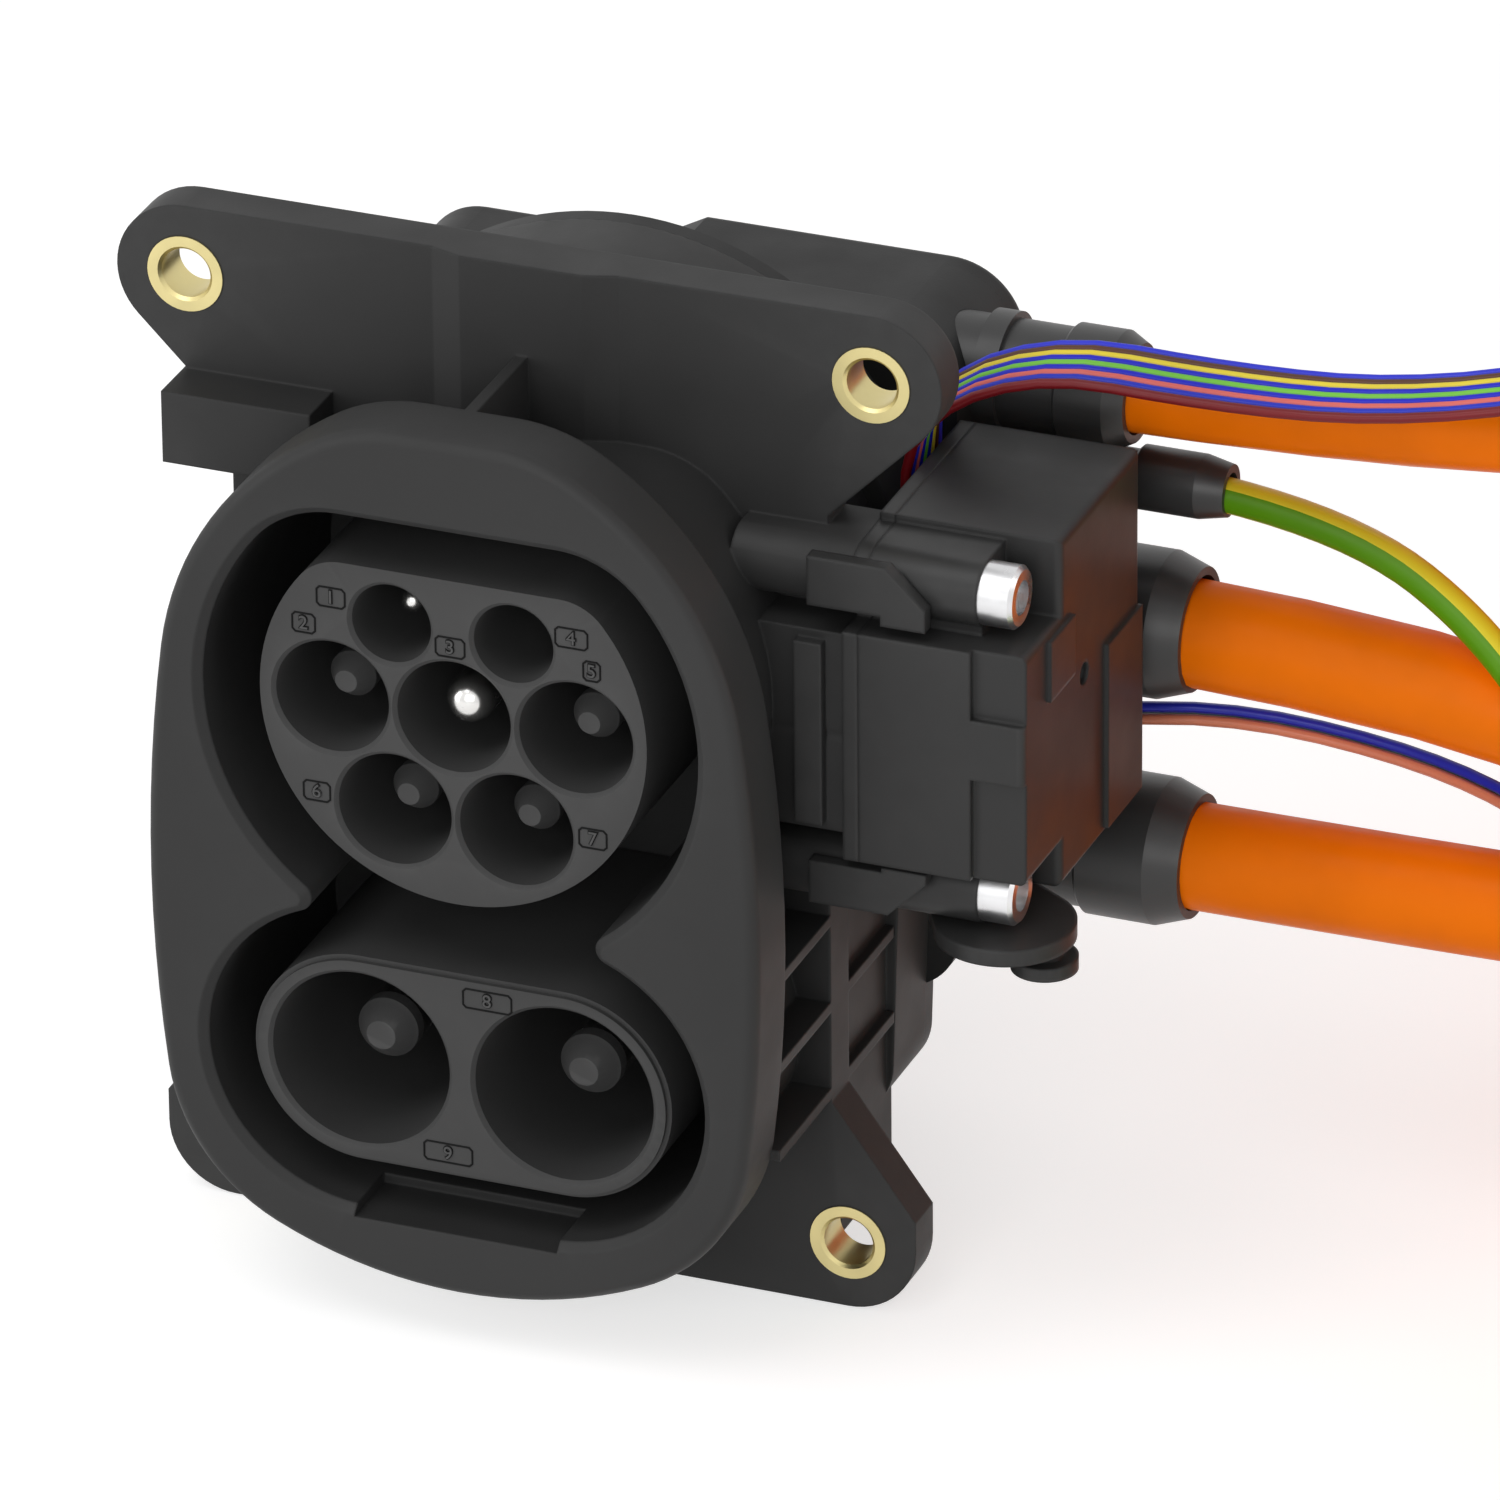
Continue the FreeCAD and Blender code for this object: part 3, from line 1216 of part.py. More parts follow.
def make_lock_bolt():
    """The round lock bolt with its rack, drawn back."""
    body = new_body("lock_bolt")
    level, drop = -1 * S["bolt_level"], -1 * S["bolt_drop"]
    start, tip = S["rack_start"], S["bolt_tip"]
    pitch_y = S["gear_depth"] - pitch_radius("gear_teeth")
    root_y = pitch_y - S["gear_module"] * S["tooth_root"]
    half = S["bolt_radius"]
    bar = box(level - S["rack_back"], root_y, drop - half, drop + half)
    side_pad(body, "rack_bar", start, bar, S["rack_long"])
    rod = side_boss(body, "rod", tip, level, drop, half, start - tip)
    doc.recompute()
    end = [e for e in rod.Shape.Edges if all(abs(v.X - tip.number) < 0.001 for v in e.Vertexes)]
    dress(body, "Chamfer", "tip_lead", rod, Part.Compound(end), 0.8)
    flat = box(start - 2.6, start, drop - half - 1, drop + half + 1)
    outline_cut(body, "wheel_flat", root_y, flat, half)
    spacing = S["gear_module"] * math.pi
    for k in range(4):
        x = S["gear_axis"] + spacing * (k - 0.5)
        upward = [(cx, 2 * pitch_y - cy, r, t) for cx, cy, r, t in tooth_path(x, pitch_y, 0.4)]
        plan_pad(body, f"tooth_{k}", drop + S["gear_face"] * 0.5, upward, S["gear_face"])
    return body


def make_release_lever():
    """The emergency release lever on the gear shaft, with the post for its cord."""
    body = new_body("release_lever")
    top = lever_top()
    x1, y1, r1 = S["gear_axis"], S["gear_depth"], S["lever_hub"]
    x2, y2, r2 = S["lever_end_x"], -1 * S["lever_end_y"], S["lever_end_radius"]
    for name, x, y, r in (("hub", x1, y1, r1), ("round_end", x2, y2, r2)):
        sketch = plan_sketch(body, f"{name}_outline", top)
        ring_hole(sketch, x, y, r)
        feature(body, "Pad", name, sketch, S["lever_thick"], True)
    apart = root((x2 - x1) * (x2 - x1) + (y2 - y1) * (y2 - y1))
    ux, uy = (x2 - x1) / apart, (y2 - y1) / apart
    lean = (r1 - r2) / apart
    rise = root(1 - lean * lean)
    web = []
    for x, y, r, side in ((x1, y1, r1, 1), (x2, y2, r2, 1), (x2, y2, r2, -1), (x1, y1, r1, -1)):
        nx = ux * lean - uy * rise * side
        ny = uy * lean + ux * rise * side
        web.append((x + nx * r, y + ny * r, None, 0))
    plan_pad(body, "web", top, web, S["lever_thick"])
    low = top - S["lever_thick"]
    for name, z, r, long in (
        ("post_neck", low, S["post_radius"], S["post_long"]),
        ("post_foot", low - S["post_long"], S["post_foot"], S["post_foot_thick"]),
    ):
        sketch = plan_sketch(body, f"{name}_outline", z)
        ring_hole(sketch, S["post_x"], y2, r)
        feature(body, "Pad", name, sketch, long, True)
    sketch = plan_sketch(body, "shaft_hole_outline", top)
    ring_hole(sketch, x1, y1, S["shaft_radius"] + 0.02)
    feature(body, "Pocket", "shaft_hole", sketch, S["lever_thick"])
    return body


def rear_outline(inset):
    """The rear housing from behind: high on the cable side, lower on the other."""
    right, left = S["rear_right"] - inset, S["rear_left"] - inset
    top, shoulder = S["rear_top"] - inset, S["rear_shoulder"] - inset
    bottom, corner, low_corner = S["rear_bottom"] - inset, S["rear_corner"] - inset, 8 - inset
    return [
        (right - corner, top, None, 0),
        (right, top - corner, corner, -1),
        (right, low_corner - bottom, None, 0),
        (right - low_corner, -1 * bottom, low_corner, -1),
        (low_corner - left, -1 * bottom, None, 0),
        (-1 * left, low_corner - bottom, low_corner, -1),
        (-1 * left, shoulder - low_corner, None, 0),
        (low_corner - left, shoulder, low_corner, -1),
        (-5.5, shoulder, None, 0),
        (1, top, None, 0),
    ]


def rear_screw_spots():
    """The six screws that hold the rear cover."""
    inner = S["lug_radius"] + S["rear_wall"] * 0.5
    right, left = S["rear_right"] - inner, S["rear_left"] - inner
    low = -1 * S["rear_bottom"] + inner
    return [
        (right - 13, S["rear_top"] - inner - 2.5),
        (-1 * left + 1, S["rear_shoulder"] - inner),
        (-1 * left, S["dc_low_drop"] * -0.5),
        (-1 * left + 1, low),
        (right - 4, low),
        ((right - left) * 0.5, low),
    ]


def leads():
    """For each cable: height, cable, gland, where the gland ends and boot length."""
    return {
        "ac": (S["ac_rise"], S["ac_cable"], S["ac_gland"], S["ac_gland_end"], S["ac_boot_long"]),
        "pe": (S["pe_rise"], S["pe_cable"], S["pe_gland"], S["pe_gland_end"], S["pe_boot_long"]),
        "dc_plus": (
            -1 * S["dc_top_drop"], S["dc_cable"], S["dc_gland"], S["dc_gland_end"], S["dc_boot_long"]
        ),
        "dc_minus": (
            -1 * S["dc_low_drop"], S["dc_cable"], S["dc_gland"], S["dc_gland_end"], S["dc_boot_long"]
        ),
    }


def make_rear_housing():
    """The box behind the skirt in which the contacts meet the cables."""
    body = new_body("rear_housing")
    front, wall, back = S["skirt_back"], S["rear_wall"], S["rear_back"]
    outline_pad(body, "front_plate", front, dome_outline(0, 8), S["rear_plate"])
    outline_pad(body, "shell", front, rear_outline(0), back - front)
    hollow_y = front + S["rear_plate"]
    outline_cut(body, "hollow", hollow_y, rear_outline(wall), back - hollow_y)
    window = box(-30, 30, -55.5, 23)
    outline_cut(body, "window", front, window, S["rear_plate"])
    sketch = front_sketch(body, "lugs_outline", hollow_y)
    for x, z in rear_screw_spots():
        ring_hole(sketch, x, z, S["lug_radius"])
    to_back(body, "lugs", sketch, back - hollow_y)
    for name, (z, cable, gland, end, boot) in leads().items():
        spot = (S["rear_right"] + 0.5, S["lead_level"], z)
        side_bore(body, f"{name}_hole", *spot, gland + S["gland_fit"], S["rear_corner"])
    wire_spot = (S["rear_right"] + 0.5, S["wire_depth"], -1 * S["wire_drop"])
    side_bore(body, "wire_hole", *wire_spot, S["wire_gland"] + S["gland_fit"], wall + 1)
    sketch = front_sketch(body, "screw_holes_outline", back - S["rear_screw_reach"] - 1)
    for x, z in rear_screw_spots():
        ring_hole(sketch, x, z, S["rear_screw"])
    cut_back(body, "screw_holes", sketch, S["rear_screw_reach"] + 1)
    return body


def make_rear_cover():
    """The flat cover of the rear housing, with a rounded edge."""
    body = new_body("rear_cover")
    back = S["rear_back"]
    plate = outline_pad(body, "plate", back, rear_outline(0), S["cover_thick"])
    doc.recompute()
    end = (back + S["cover_thick"]).number
    far = [e for e in plate.Shape.Edges if all(abs(v.Y - end) < 0.001 for v in e.Vertexes)]
    dress(body, "Fillet", "edge_round", plate, Part.Compound(far), S["cover_round"])
    sketch = front_sketch(body, "screw_holes_outline", back)
    for x, z in rear_screw_spots():
        ring_hole(sketch, x, z, S["rear_screw"] + 0.2)
    cut_back(body, "screw_holes", sketch, S["cover_thick"])
    return body


def make_rear_screws():
    """The six screws of the rear cover."""
    head, long = S["rear_screw_head"], S["rear_screw_head_long"]
    end = long + S["cover_thick"] + S["rear_screw_reach"]
    profile = [
        (0, 1.2),
        (1.4, 1.2),
        (1.4, 0),
        (head - 0.4, 0),
        (head, 0.4),
        (head, long),
        (S["rear_screw"], long),
        (S["rear_screw"], end),
        (0, end),
    ]
    top = S["rear_back"] + S["cover_thick"] + long
    return grouped(
        "rear_cover_screws",
        [
            turned(f"rear_cover_screw_{k + 1}", "-y", (x, top, z), profile)
            for k, (x, z) in enumerate(rear_screw_spots())
        ],
    )


def make_glands():
    """A gland in the wall and a boot over its end for each cable."""
    pieces = []
    inner = S["rear_right"] - S["rear_wall"] - S["gland_inside"]
    seat = S["rear_right"] - inner
    fit, level = S["gland_fit"], S["lead_level"]
    for name, (z, cable, gland, end, boot) in leads().items():
        bore, length, collar = cable + fit, end - inner, gland + S["gland_collar"]
        rim = [
            (gland, seat),
            (collar, seat),
            (collar, seat + S["collar_long"]),
            (gland, seat + S["collar_long"]),
        ]
        if name == "pe":
            rim = []
        profile = [(bore, 0), (gland, 0), *rim, (gland, length), (bore, length)]
        pieces.append(turned(f"{name}_gland", "+x", (inner, level, z), profile))
        outer, grip = gland + S["boot_over"], S["boot_grip"]
        body_long = grip + boot * (1 - S["boot_taper"])
        profile = [
            (gland + fit, 0),
            (outer - 0.4, 0),
            (outer, 0.4),
            (outer, body_long),
            (cable + S["boot_wall"], grip + boot),
            (bore, grip + boot),
            (bore, grip),
            (gland + fit, grip),
        ]
        pieces.append(turned(f"{name}_boot", "+x", (end - grip, level, z), profile))
    return pieces

def make_wire_gland():
    """The small gland of the sensor wires between the two DC glands."""
    inner = S["rear_right"] - S["rear_wall"] - S["gland_inside"]
    bore, radius = S["wire_bundle"] + S["gland_fit"], S["wire_gland"]
    seat = S["rear_right"] - inner
    profile = [
        (bore, 0),
        (radius, 0),
        (radius, seat),
        (radius + 1, seat),
        (radius + 1, seat + 1.5),
        (radius - 1, seat + 4),
        (bore, seat + 4),
    ]
    return turned("wire_gland", "+x", (inner, S["wire_depth"], -1 * S["wire_drop"]), profile)


def make_bus_bars():
    """The copper bars from the DC contacts to the crimped lugs of the DC cables."""
    front, start = S["bus_front"], S["lead_start"]
    radius = S["bus_spot_wide"]
    contact_back = foot_level() + S["collar_thick"] + S["barrel_long"]
    made_bars = []
    rises = {"dc_plus": -1 * S["dc_top_drop"], "dc_minus": -1 * S["dc_low_drop"]}
    lug = S["dc_cable"] + S["lug_wall"]
    for name, (x, z) in dc_spots().items():
        body = new_body(f"{name}_busbar")
        sketch = front_sketch(body, "spot_outline", contact_back)
        ring_hole(sketch, x, z, radius)
        to_back(body, "spot", sketch, front - contact_back)
        outline_pad(body, "foot", front, box(x - radius, x + radius, z - radius, rises[name] + radius),
                    S["bus_thick"])
        across = box(x - radius, start, rises[name] - radius, rises[name] + radius)
        outline_pad(body, "arm", front, across, S["bus_thick"])
        spot = (S["lead_level"], rises[name])
        side_boss(body, "lug", start - 7, *spot, lug, 8.5)
        side_bore(body, "lug_bore", start + 1.5, *spot, S["dc_cable"] + S["gland_fit"], 1.5)
        made_bars.append(body)
    return made_bars


def make_signal_duct():
    """The sleeve on the housing's side from which the signal wires rise."""
    body = new_body("signal_duct")
    x, y = RIBBON_ROUTE[0][0], RIBBON_ROUTE[0][1]
    half_x, half_y = S["ribbon_thick"] * 0.5, S["ribbon_wide"] * 0.5
    wall, fit, top, low = S["duct_wall"], 0.1, 4, 14
    outer = box(x - half_x - wall * 0.4, x + half_x + wall, y - half_y - wall, y + half_y + wall)
    plan_pad(body, "sleeve", top, outer, top + low)
    sketch = plan_sketch(body, "slot_outline", top)
    draw(sketch, box(x - half_x - fit, x + half_x + fit, y - half_y - fit, y + half_y + fit))
    feature(body, "Pocket", "slot", sketch, top - RIBBON_ROUTE[0][2])
    return body


def rounded_path(name, points):
    """Straight runs joined by tangent arcs, each arc as large as its runs allow."""
    corners = [Vector(*point) for point in points]
    edges, start, radii = [], corners[0], []
    for before, corner, after in zip(corners, corners[1:], corners[2:]):
        into, away = (corner - before).normalize(), (after - corner).normalize()
        turn = into.getAngle(away)
        shorter = min((corner - before).Length, (after - corner).Length)
        reach = SHARE_OF_RUN * shorter
        radius = reach / math.tan(turn / 2)
        radii.append(round(radius))
        first, last = corner - into * reach, corner + away * reach
        middle_way = (away - into).normalize()
        middle = corner + middle_way * (radius / math.cos(turn / 2) - radius)
        edges.append(Part.LineSegment(start, first).toShape())
        edges.append(Part.Arc(first, middle, last).toShape())
        start = last
    edges.append(Part.LineSegment(start, corners[-1]).toShape())
    path = Part.Wire(edges)
    print(name, "arc radii", radii, "length", round(path.Length, 1))
    return path


def ring_shape(coil):
    """The closed outer shape of a coil, as placed."""
    doc.recompute()
    return coil.Shape


def swept(label, path, section, coils, width_way=None):
    """A cord along its path, ending against its coil."""
    shell = Part.BRepOffsetAPI.MakePipeShell(path)
    if width_way:
        shell.setBiNormalMode(width_way)
    shell.add(section, False, False)
    shell.build()
    shell.makeSolid()
    solid = shell.shape()
    if solid.Volume < 0:
        solid.reverse()
    for coil in coils:
        solid = solid.cut(ring_shape(coil))
    largest = max(solid.Solids, key=lambda one: one.Volume)
    thing = doc.addObject("Part::Feature", label)
    thing.Label = label
    thing.Shape = largest
    thing.Placement = FreeCAD.Placement()
    return thing


def round_cord(label, radius, points, coils):
    """A round cable along a route."""
    path = rounded_path(label, points)
    way = (Vector(*points[1]) - Vector(*points[0])).normalize()
    section = Part.Wire(Part.makeCircle(radius.number, Vector(*points[0]), way))
    return swept(label, path, section, coils)


def coil_ring(label, centre_y, base, middle, wide, high):
    """A coil of cord lying flat, as one closed ring with rounded edges."""
    half, edge = wide * 0.5, 1.4
    profile = [
        (middle - half + edge, 0),
        (middle + half - edge, 0),
        (middle + half, edge),
        (middle + half, high - edge),
        (middle + half - edge, high),
        (middle - half + edge, high),
        (middle - half, high - edge),
        (middle - half, edge),
    ]
    return turned(label, "+z", (S["coil_x"], centre_y, base), profile)


def make_coils():
    """The coiled part of each cable, lying on the surface that the inlet stands on."""
    floor = -1 * S["floor_drop"]
    dc_long, dc_high = S["dc_cable"] * 2, S["dc_cable"] * 2 * S["dc_turns"]
    dc_y = S["lead_level"] + S["dc_coil_radius"]
    ac_long = S["ac_cable"] * 2
    ac_y = S["lead_level"] + S["ac_coil_radius"] + S["ac_cable"]
    ac_base = floor + dc_high * 2
    pe_long, pe_high = S["pe_cable"] * 2, S["pe_cable"] * 2 * S["pe_rows"]
    wire_long = S["wire_bundle"] * 2
    front_y = S["coil_front_y"]
    return {
        "dc_minus": coil_ring("dc_minus_coil", dc_y, floor, S["dc_coil_radius"], dc_long, dc_high),
        "dc_plus": coil_ring(
            "dc_plus_coil", dc_y, floor + dc_high, S["dc_coil_radius"], dc_long, dc_high
        ),
        "ac": coil_ring(
            "ac_coil", ac_y, ac_base, S["ac_coil_radius"], ac_long * 2, ac_long * S["ac_rows"]
        ),
        "pe": coil_ring("pe_coil", front_y, floor, S["pe_coil_radius"], pe_long * 2, pe_high),
        "wire": coil_ring(
            "sensor_wire_coil",
            front_y,
            floor,
            S["wire_coil_radius"],
            wire_long * 2,
            wire_long * S["wire_rows"],
        ),
        "ribbon": coil_ring(
            "signal_wire_coil",
            ac_y,
            ac_base + ac_long * S["ac_rows"],
            S["ribbon_coil_radius"],
            S["ribbon_wide"],
            S["ribbon_bundle"] * S["ribbon_rows"],
        ),
    }


def make_cords():
    """Every cable from its gland to its coil."""
    coils = make_coils()
    cords = list(coils.values())
    for name, route, radius, ends in (
        ("dc_plus_cable", DC_PLUS_ROUTE, S["dc_cable"], ("dc_plus", "dc_minus")),
        ("dc_minus_cable", DC_MINUS_ROUTE, S["dc_cable"], ("dc_minus", "dc_plus")),
        ("ac_cable", AC_ROUTE, S["ac_cable"], ("ac", "dc_plus")),
        ("pe_cable", PE_ROUTE, S["pe_cable"], ("pe",)),
        ("sensor_wires", WIRE_ROUTE, S["wire_bundle"], ("wire",)),
    ):
        cords.append(round_cord(name, radius, route, [coils[end] for end in ends]))
    path = rounded_path("signal_wires", RIBBON_ROUTE)
    x, y, z = RIBBON_ROUTE[0]
    half_x, half_y = S["ribbon_thick"].number / 2, S["ribbon_wide"].number / 2
    corners = [Vector(x + sx * half_x, y + sy * half_y, z) for sx, sy in SQUARE]
    section = Part.makePolygon([*corners, corners[0]])
    cords.append(swept("signal_wires", path, section, [coils["ribbon"]], Vector(0, 1, 0)))
    return cords


made = [
    make_main_housing(),
    make_ac_insert(),
    make_dc_insert(),
    *make_contacts(),
    make_bushings(),
    make_actuator_base(),
    make_actuator_cover(),
    make_actuator_screws(),
    make_lock_bolt(),
    make_drive_gear(),
    make_motor_pinion(),
    make_motor(),
    make_release_lever(),
    make_rear_housing(),
    make_rear_cover(),
    make_rear_screws(),
    *make_glands(),
    make_wire_gland(),
    *make_bus_bars(),
    make_signal_duct(),
    *make_cords(),
]

doc.recompute()
failed = [thing.Name for thing in doc.Objects if {"Invalid", "Error"} & set(thing.State)]
if failed:
    raise RuntimeError(f"these did not build: {failed}")
os.makedirs("parts", exist_ok=True)
for piece in made:
    shape = piece.Shape
    if shape.isNull() or not shape.isValid():
        raise RuntimeError(f"{piece.Label} has no valid shape")
    shape.exportStep(f"parts/{piece.Label}.step")
    print(piece.Label, len(shape.Solids), round(shape.Volume, 1), shape.BoundBox)
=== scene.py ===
"""A vehicle charging inlet with its lock actuator and cables, as it is seen in a studio."""

import json
import math

import bpy
from mathutils import Matrix, Vector


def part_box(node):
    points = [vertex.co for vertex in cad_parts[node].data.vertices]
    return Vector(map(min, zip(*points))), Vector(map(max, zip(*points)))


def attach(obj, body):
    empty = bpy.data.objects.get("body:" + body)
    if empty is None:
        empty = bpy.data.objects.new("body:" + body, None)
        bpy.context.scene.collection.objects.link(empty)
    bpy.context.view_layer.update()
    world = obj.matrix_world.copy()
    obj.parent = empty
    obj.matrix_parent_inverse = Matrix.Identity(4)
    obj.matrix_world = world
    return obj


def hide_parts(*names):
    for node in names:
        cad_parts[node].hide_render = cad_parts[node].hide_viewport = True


MM = 0.001

# The camera: its turn, rise and roll in degrees, its shift and distance in millimetres.
AZIMUTH, ELEVATION, ROLL = 21.751, 26.965, -0.521
SHIFT_RIGHT, SHIFT_UP, DISTANCE = 36.10, -3.83, 1900.2
AIM_DEPTH = -24.976
LENS, SENSOR = 375.8, 36.0

FLOOR_Z = -86.5
FLOOR_REACH = 3.0

DC_RADIUS, AC_RADIUS, PE_RADIUS = 6.85, 5.2, 2.25
STRAND_RADIUS = 0.68
SENSOR_RADIUS, SENSOR_STRAND = 1.6, 0.72

# Coils: centre, radius of the columns of turns, heights of the layers and number of layers.
COIL_X = 168.0
DC_COIL_Y, DC_COIL_RADIUS, DC_LAYERS = 113.5, 68.5, 4
DC_PLUS_LOW, DC_MINUS_HIGH = -24.85, -38.55
AC_COIL_Y, AC_OUTER, AC_INNER, AC_LOW, AC_LAYERS = 109.4, 64.4, 54.0, 28.3, 2
PE_COIL_Y, PE_OUTER, PE_INNER, PE_HIGH, PE_LAYERS = 5.0, 27.25, 22.75, -61.75, 6
SENSOR_OUTER, SENSOR_INNER, SENSOR_HIGH, SENSOR_LAYERS = 18.6, 15.4, -56.1, 10
RIBBON_OUTER, RIBBON_INNER, RIBBON_LOW, RIBBON_LAYERS = 64.5, 59.5, 46.4, 2
RIBBON_PITCH, RIBBON_SPACING = 5.0, 1.4

# Points of a coil's turn, and the point of a turn where it starts to step to the next.
POINTS_PER_TURN, STEP_FROM = 36, 30

# Pieces of smooth line from one point to the next, and how much finer a free stretch is.
LINE_STEPS, FREE_FINENESS = 4, 3

# The signal wires lie flat up to this share of their length, then gather to a bundle.
GATHERED = (0.062, 0.10)

# The free stretches, point by point.
DC_PLUS_ROUTE = [(36.5, 45, -8.2), (108, 45, -8.2), (132, 45, -21.5), (150, 45, DC_PLUS_LOW)]
DC_MINUS_ROUTE = [(36.5, 45, -39.8), (100, 45, -39.8), (148, 45, DC_MINUS_HIGH)]
AC_ROUTE = [(36.5, 45, 22.9), (85, 45, 22.9), (134, 45, 28.6), (152, 45, AC_LOW)]
PE_ROUTE = [
    (60, 45, 11.6),
    (88, 45, 11.6),
    (114, 39, -1),
    (131, 29, -23),
    (142, 29.5, -44),
    (153, 31.5, -57),
]
SENSOR_ROUTE = [
    (40, 47, -24),
    (54, 47, -24),
    (73, 52, -22.5),
    (95, 55.3, -26),
    (112, 50, -27.5),
    (125, 41, -29.5),
    (138, 35.5, -36),
    (149, 33, -44),
    (158, 27, -52),
]
RIBBON_ROUTE = [
    (42.2, 24, -2),
    (42.2, 24, 12),
    (41.5, 26, 27),
    (57, 28.5, 34.5),
    (77, 30, 33.2),
    (98, 30.5, 34),
    (120, 34, 38),
    (138, 42, 45),
    (156, 45.1, 46.2),
]

# Signal wires from the front edge of the band to its back edge.
RIBBON_COLOURS = [
    ("dark_red", (0.17, 0.004, 0.008)),
    ("blue_one", (0.015, 0.03, 0.55)),
    ("salmon", (0.80, 0.16, 0.14)),
    ("blue_two", (0.008, 0.014, 0.60)),
    ("light_green", (0.20, 0.62, 0.06)),
    ("blue_three", (0.008, 0.014, 0.60)),
    ("yellow", (0.90, 0.72, 0.05)),
    ("brown", (0.10, 0.035, 0.015)),
    ("blue_four", (0.03, 0.04, 0.70)),
]
SENSOR_COLOURS = [
    ("sensor_blue", (0.02, 0.03, 0.5)),
    ("sensor_orange", (0.80, 0.28, 0.16)),
    ("sensor_green", (0.10, 0.35, 0.12)),
]

# Plaques with plain numbers: middle, height and half width, on the face of which insert.
PLAQUES = [
    ("ac_insert", -15.75, 13.65, 1.85),
    ("ac_insert", -19.4, 9.6, 1.5),
    ("ac_insert", -0.15, 9.6, 1.9),
    ("ac_insert", 15.75, 13.6, 2.1),
    ("ac_insert", 18.35, 9.6, 1.1),
    ("ac_insert", -18.15, -13.15, 1.75),
    ("ac_insert", 18.2, -13.15, 1.8),
    ("dc_insert", 3.65, -38.5, 3.2),
    ("dc_insert", -1.9, -60.65, 3.2),
]
PLAQUE_HALF_HIGH, PLAQUE_CORNER, PLAQUE_RIB = 1.3, 0.4, 0.14
NUMBER_SIZE = 2.5

# Light: strength of the sky, and strength and share of the floor's own white.
SKY = 0.42
FLOOR_GLOW, GLOW_SHARE = 1.8, 0.35


def metres(point):
    return Vector(point) * MM


def make_camera():
    """The camera stands where the photograph was taken from."""
    turn, rise, roll = (math.radians(a) for a in (AZIMUTH, ELEVATION, ROLL))
    back = Vector(
        (math.sin(turn) * math.cos(rise), -math.cos(turn) * math.cos(rise), math.sin(rise))
    )
    side = Vector((math.cos(turn), math.sin(turn), 0))
    above = side.cross(-back)
    right = side * math.cos(roll) + above * math.sin(roll)
    up = above * math.cos(roll) - side * math.sin(roll)
    place = right * SHIFT_RIGHT + up * SHIFT_UP + back * DISTANCE
    place.y += AIM_DEPTH
    data = bpy.data.cameras.new("camera")
    data.lens, data.sensor_width = LENS, SENSOR
    data.clip_start, data.clip_end = 0.1, 20
    camera = bpy.data.objects.new("camera", data)
    turned = Matrix((right, up, back)).transposed()
    camera.matrix_world = Matrix.Translation(place * MM) @ turned.to_4x4()
    bpy.context.scene.collection.objects.link(camera)
    bpy.context.scene.camera = camera


# Materials


class Shader:
    """A new material and short calls for its nodes."""

    def __init__(self, name):
        self.material = bpy.data.materials.new(name)
        self.material.use_nodes = True
        self.nodes = self.material.node_tree.nodes
        self.links = self.material.node_tree.links
        self.surface = self.nodes["Principled BSDF"]
        self.place = self.nodes.new("ShaderNodeTexCoord").outputs["Object"]

    def noise(self, scale, detail=3.0, stretch=None):
        texture = self.nodes.new("ShaderNodeTexNoise")
        texture.inputs["Scale"].default_value = scale
        texture.inputs["Detail"].default_value = detail
        place = self.place
        if stretch:
            mapping = self.nodes.new("ShaderNodeMapping")
            mapping.inputs["Scale"].default_value = stretch
            self.links.new(place, mapping.inputs["Vector"])
            place = mapping.outputs["Vector"]
        self.links.new(place, texture.inputs["Vector"])
        return texture.outputs["Fac"]

    def ramp(self, value, low, high, start=0.35, end=0.65):
        ramp = self.nodes.new("ShaderNodeValToRGB")
        ramp.color_ramp.elements[0].position = start
        ramp.color_ramp.elements[1].position = end
        ramp.color_ramp.elements[0].color = (*low, 1)
        ramp.color_ramp.elements[1].color = (*high, 1)
        self.links.new(value, ramp.inputs["Fac"])
        return ramp.outputs["Color"]

    def span(self, value, low, high):
        span = self.nodes.new("ShaderNodeMapRange")
        span.inputs["From Min"].default_value = 0.3
        span.inputs["From Max"].default_value = 0.7
        span.inputs["To Min"].default_value = low
        span.inputs["To Max"].default_value = high
        self.links.new(value, span.inputs["Value"])
        return span.outputs["Result"]

    def bump(self, height, strength, depth, edge=0.0):
        bump = self.nodes.new("ShaderNodeBump")
        if edge:
            rounded = self.nodes.new("ShaderNodeBevel")
            rounded.samples = 4
            rounded.inputs["Radius"].default_value = edge * MM
            self.links.new(rounded.outputs["Normal"], bump.inputs["Normal"])
        bump.inputs["Strength"].default_value = strength
        bump.inputs["Distance"].default_value = depth
        self.links.new(height, bump.inputs["Height"])
        self.links.new(bump.outputs["Normal"], self.surface.inputs["Normal"])

    def mix(self, factor, first, second):
        mix = self.nodes.new("ShaderNodeMix")
        mix.data_type = "RGBA"
        self.links.new(factor, mix.inputs["Factor"])
        self.links.new(first, mix.inputs["A"])
        self.links.new(second, mix.inputs["B"])
        return mix.outputs["Result"]

    def paint(self, colour):
        self.links.new(colour, self.surface.inputs["Base Color"])

    def roughen(self, value):
        self.links.new(value, self.surface.inputs["Roughness"])


def shade(colour, factor):
    return tuple(min(1.0, c * factor) for c in colour)


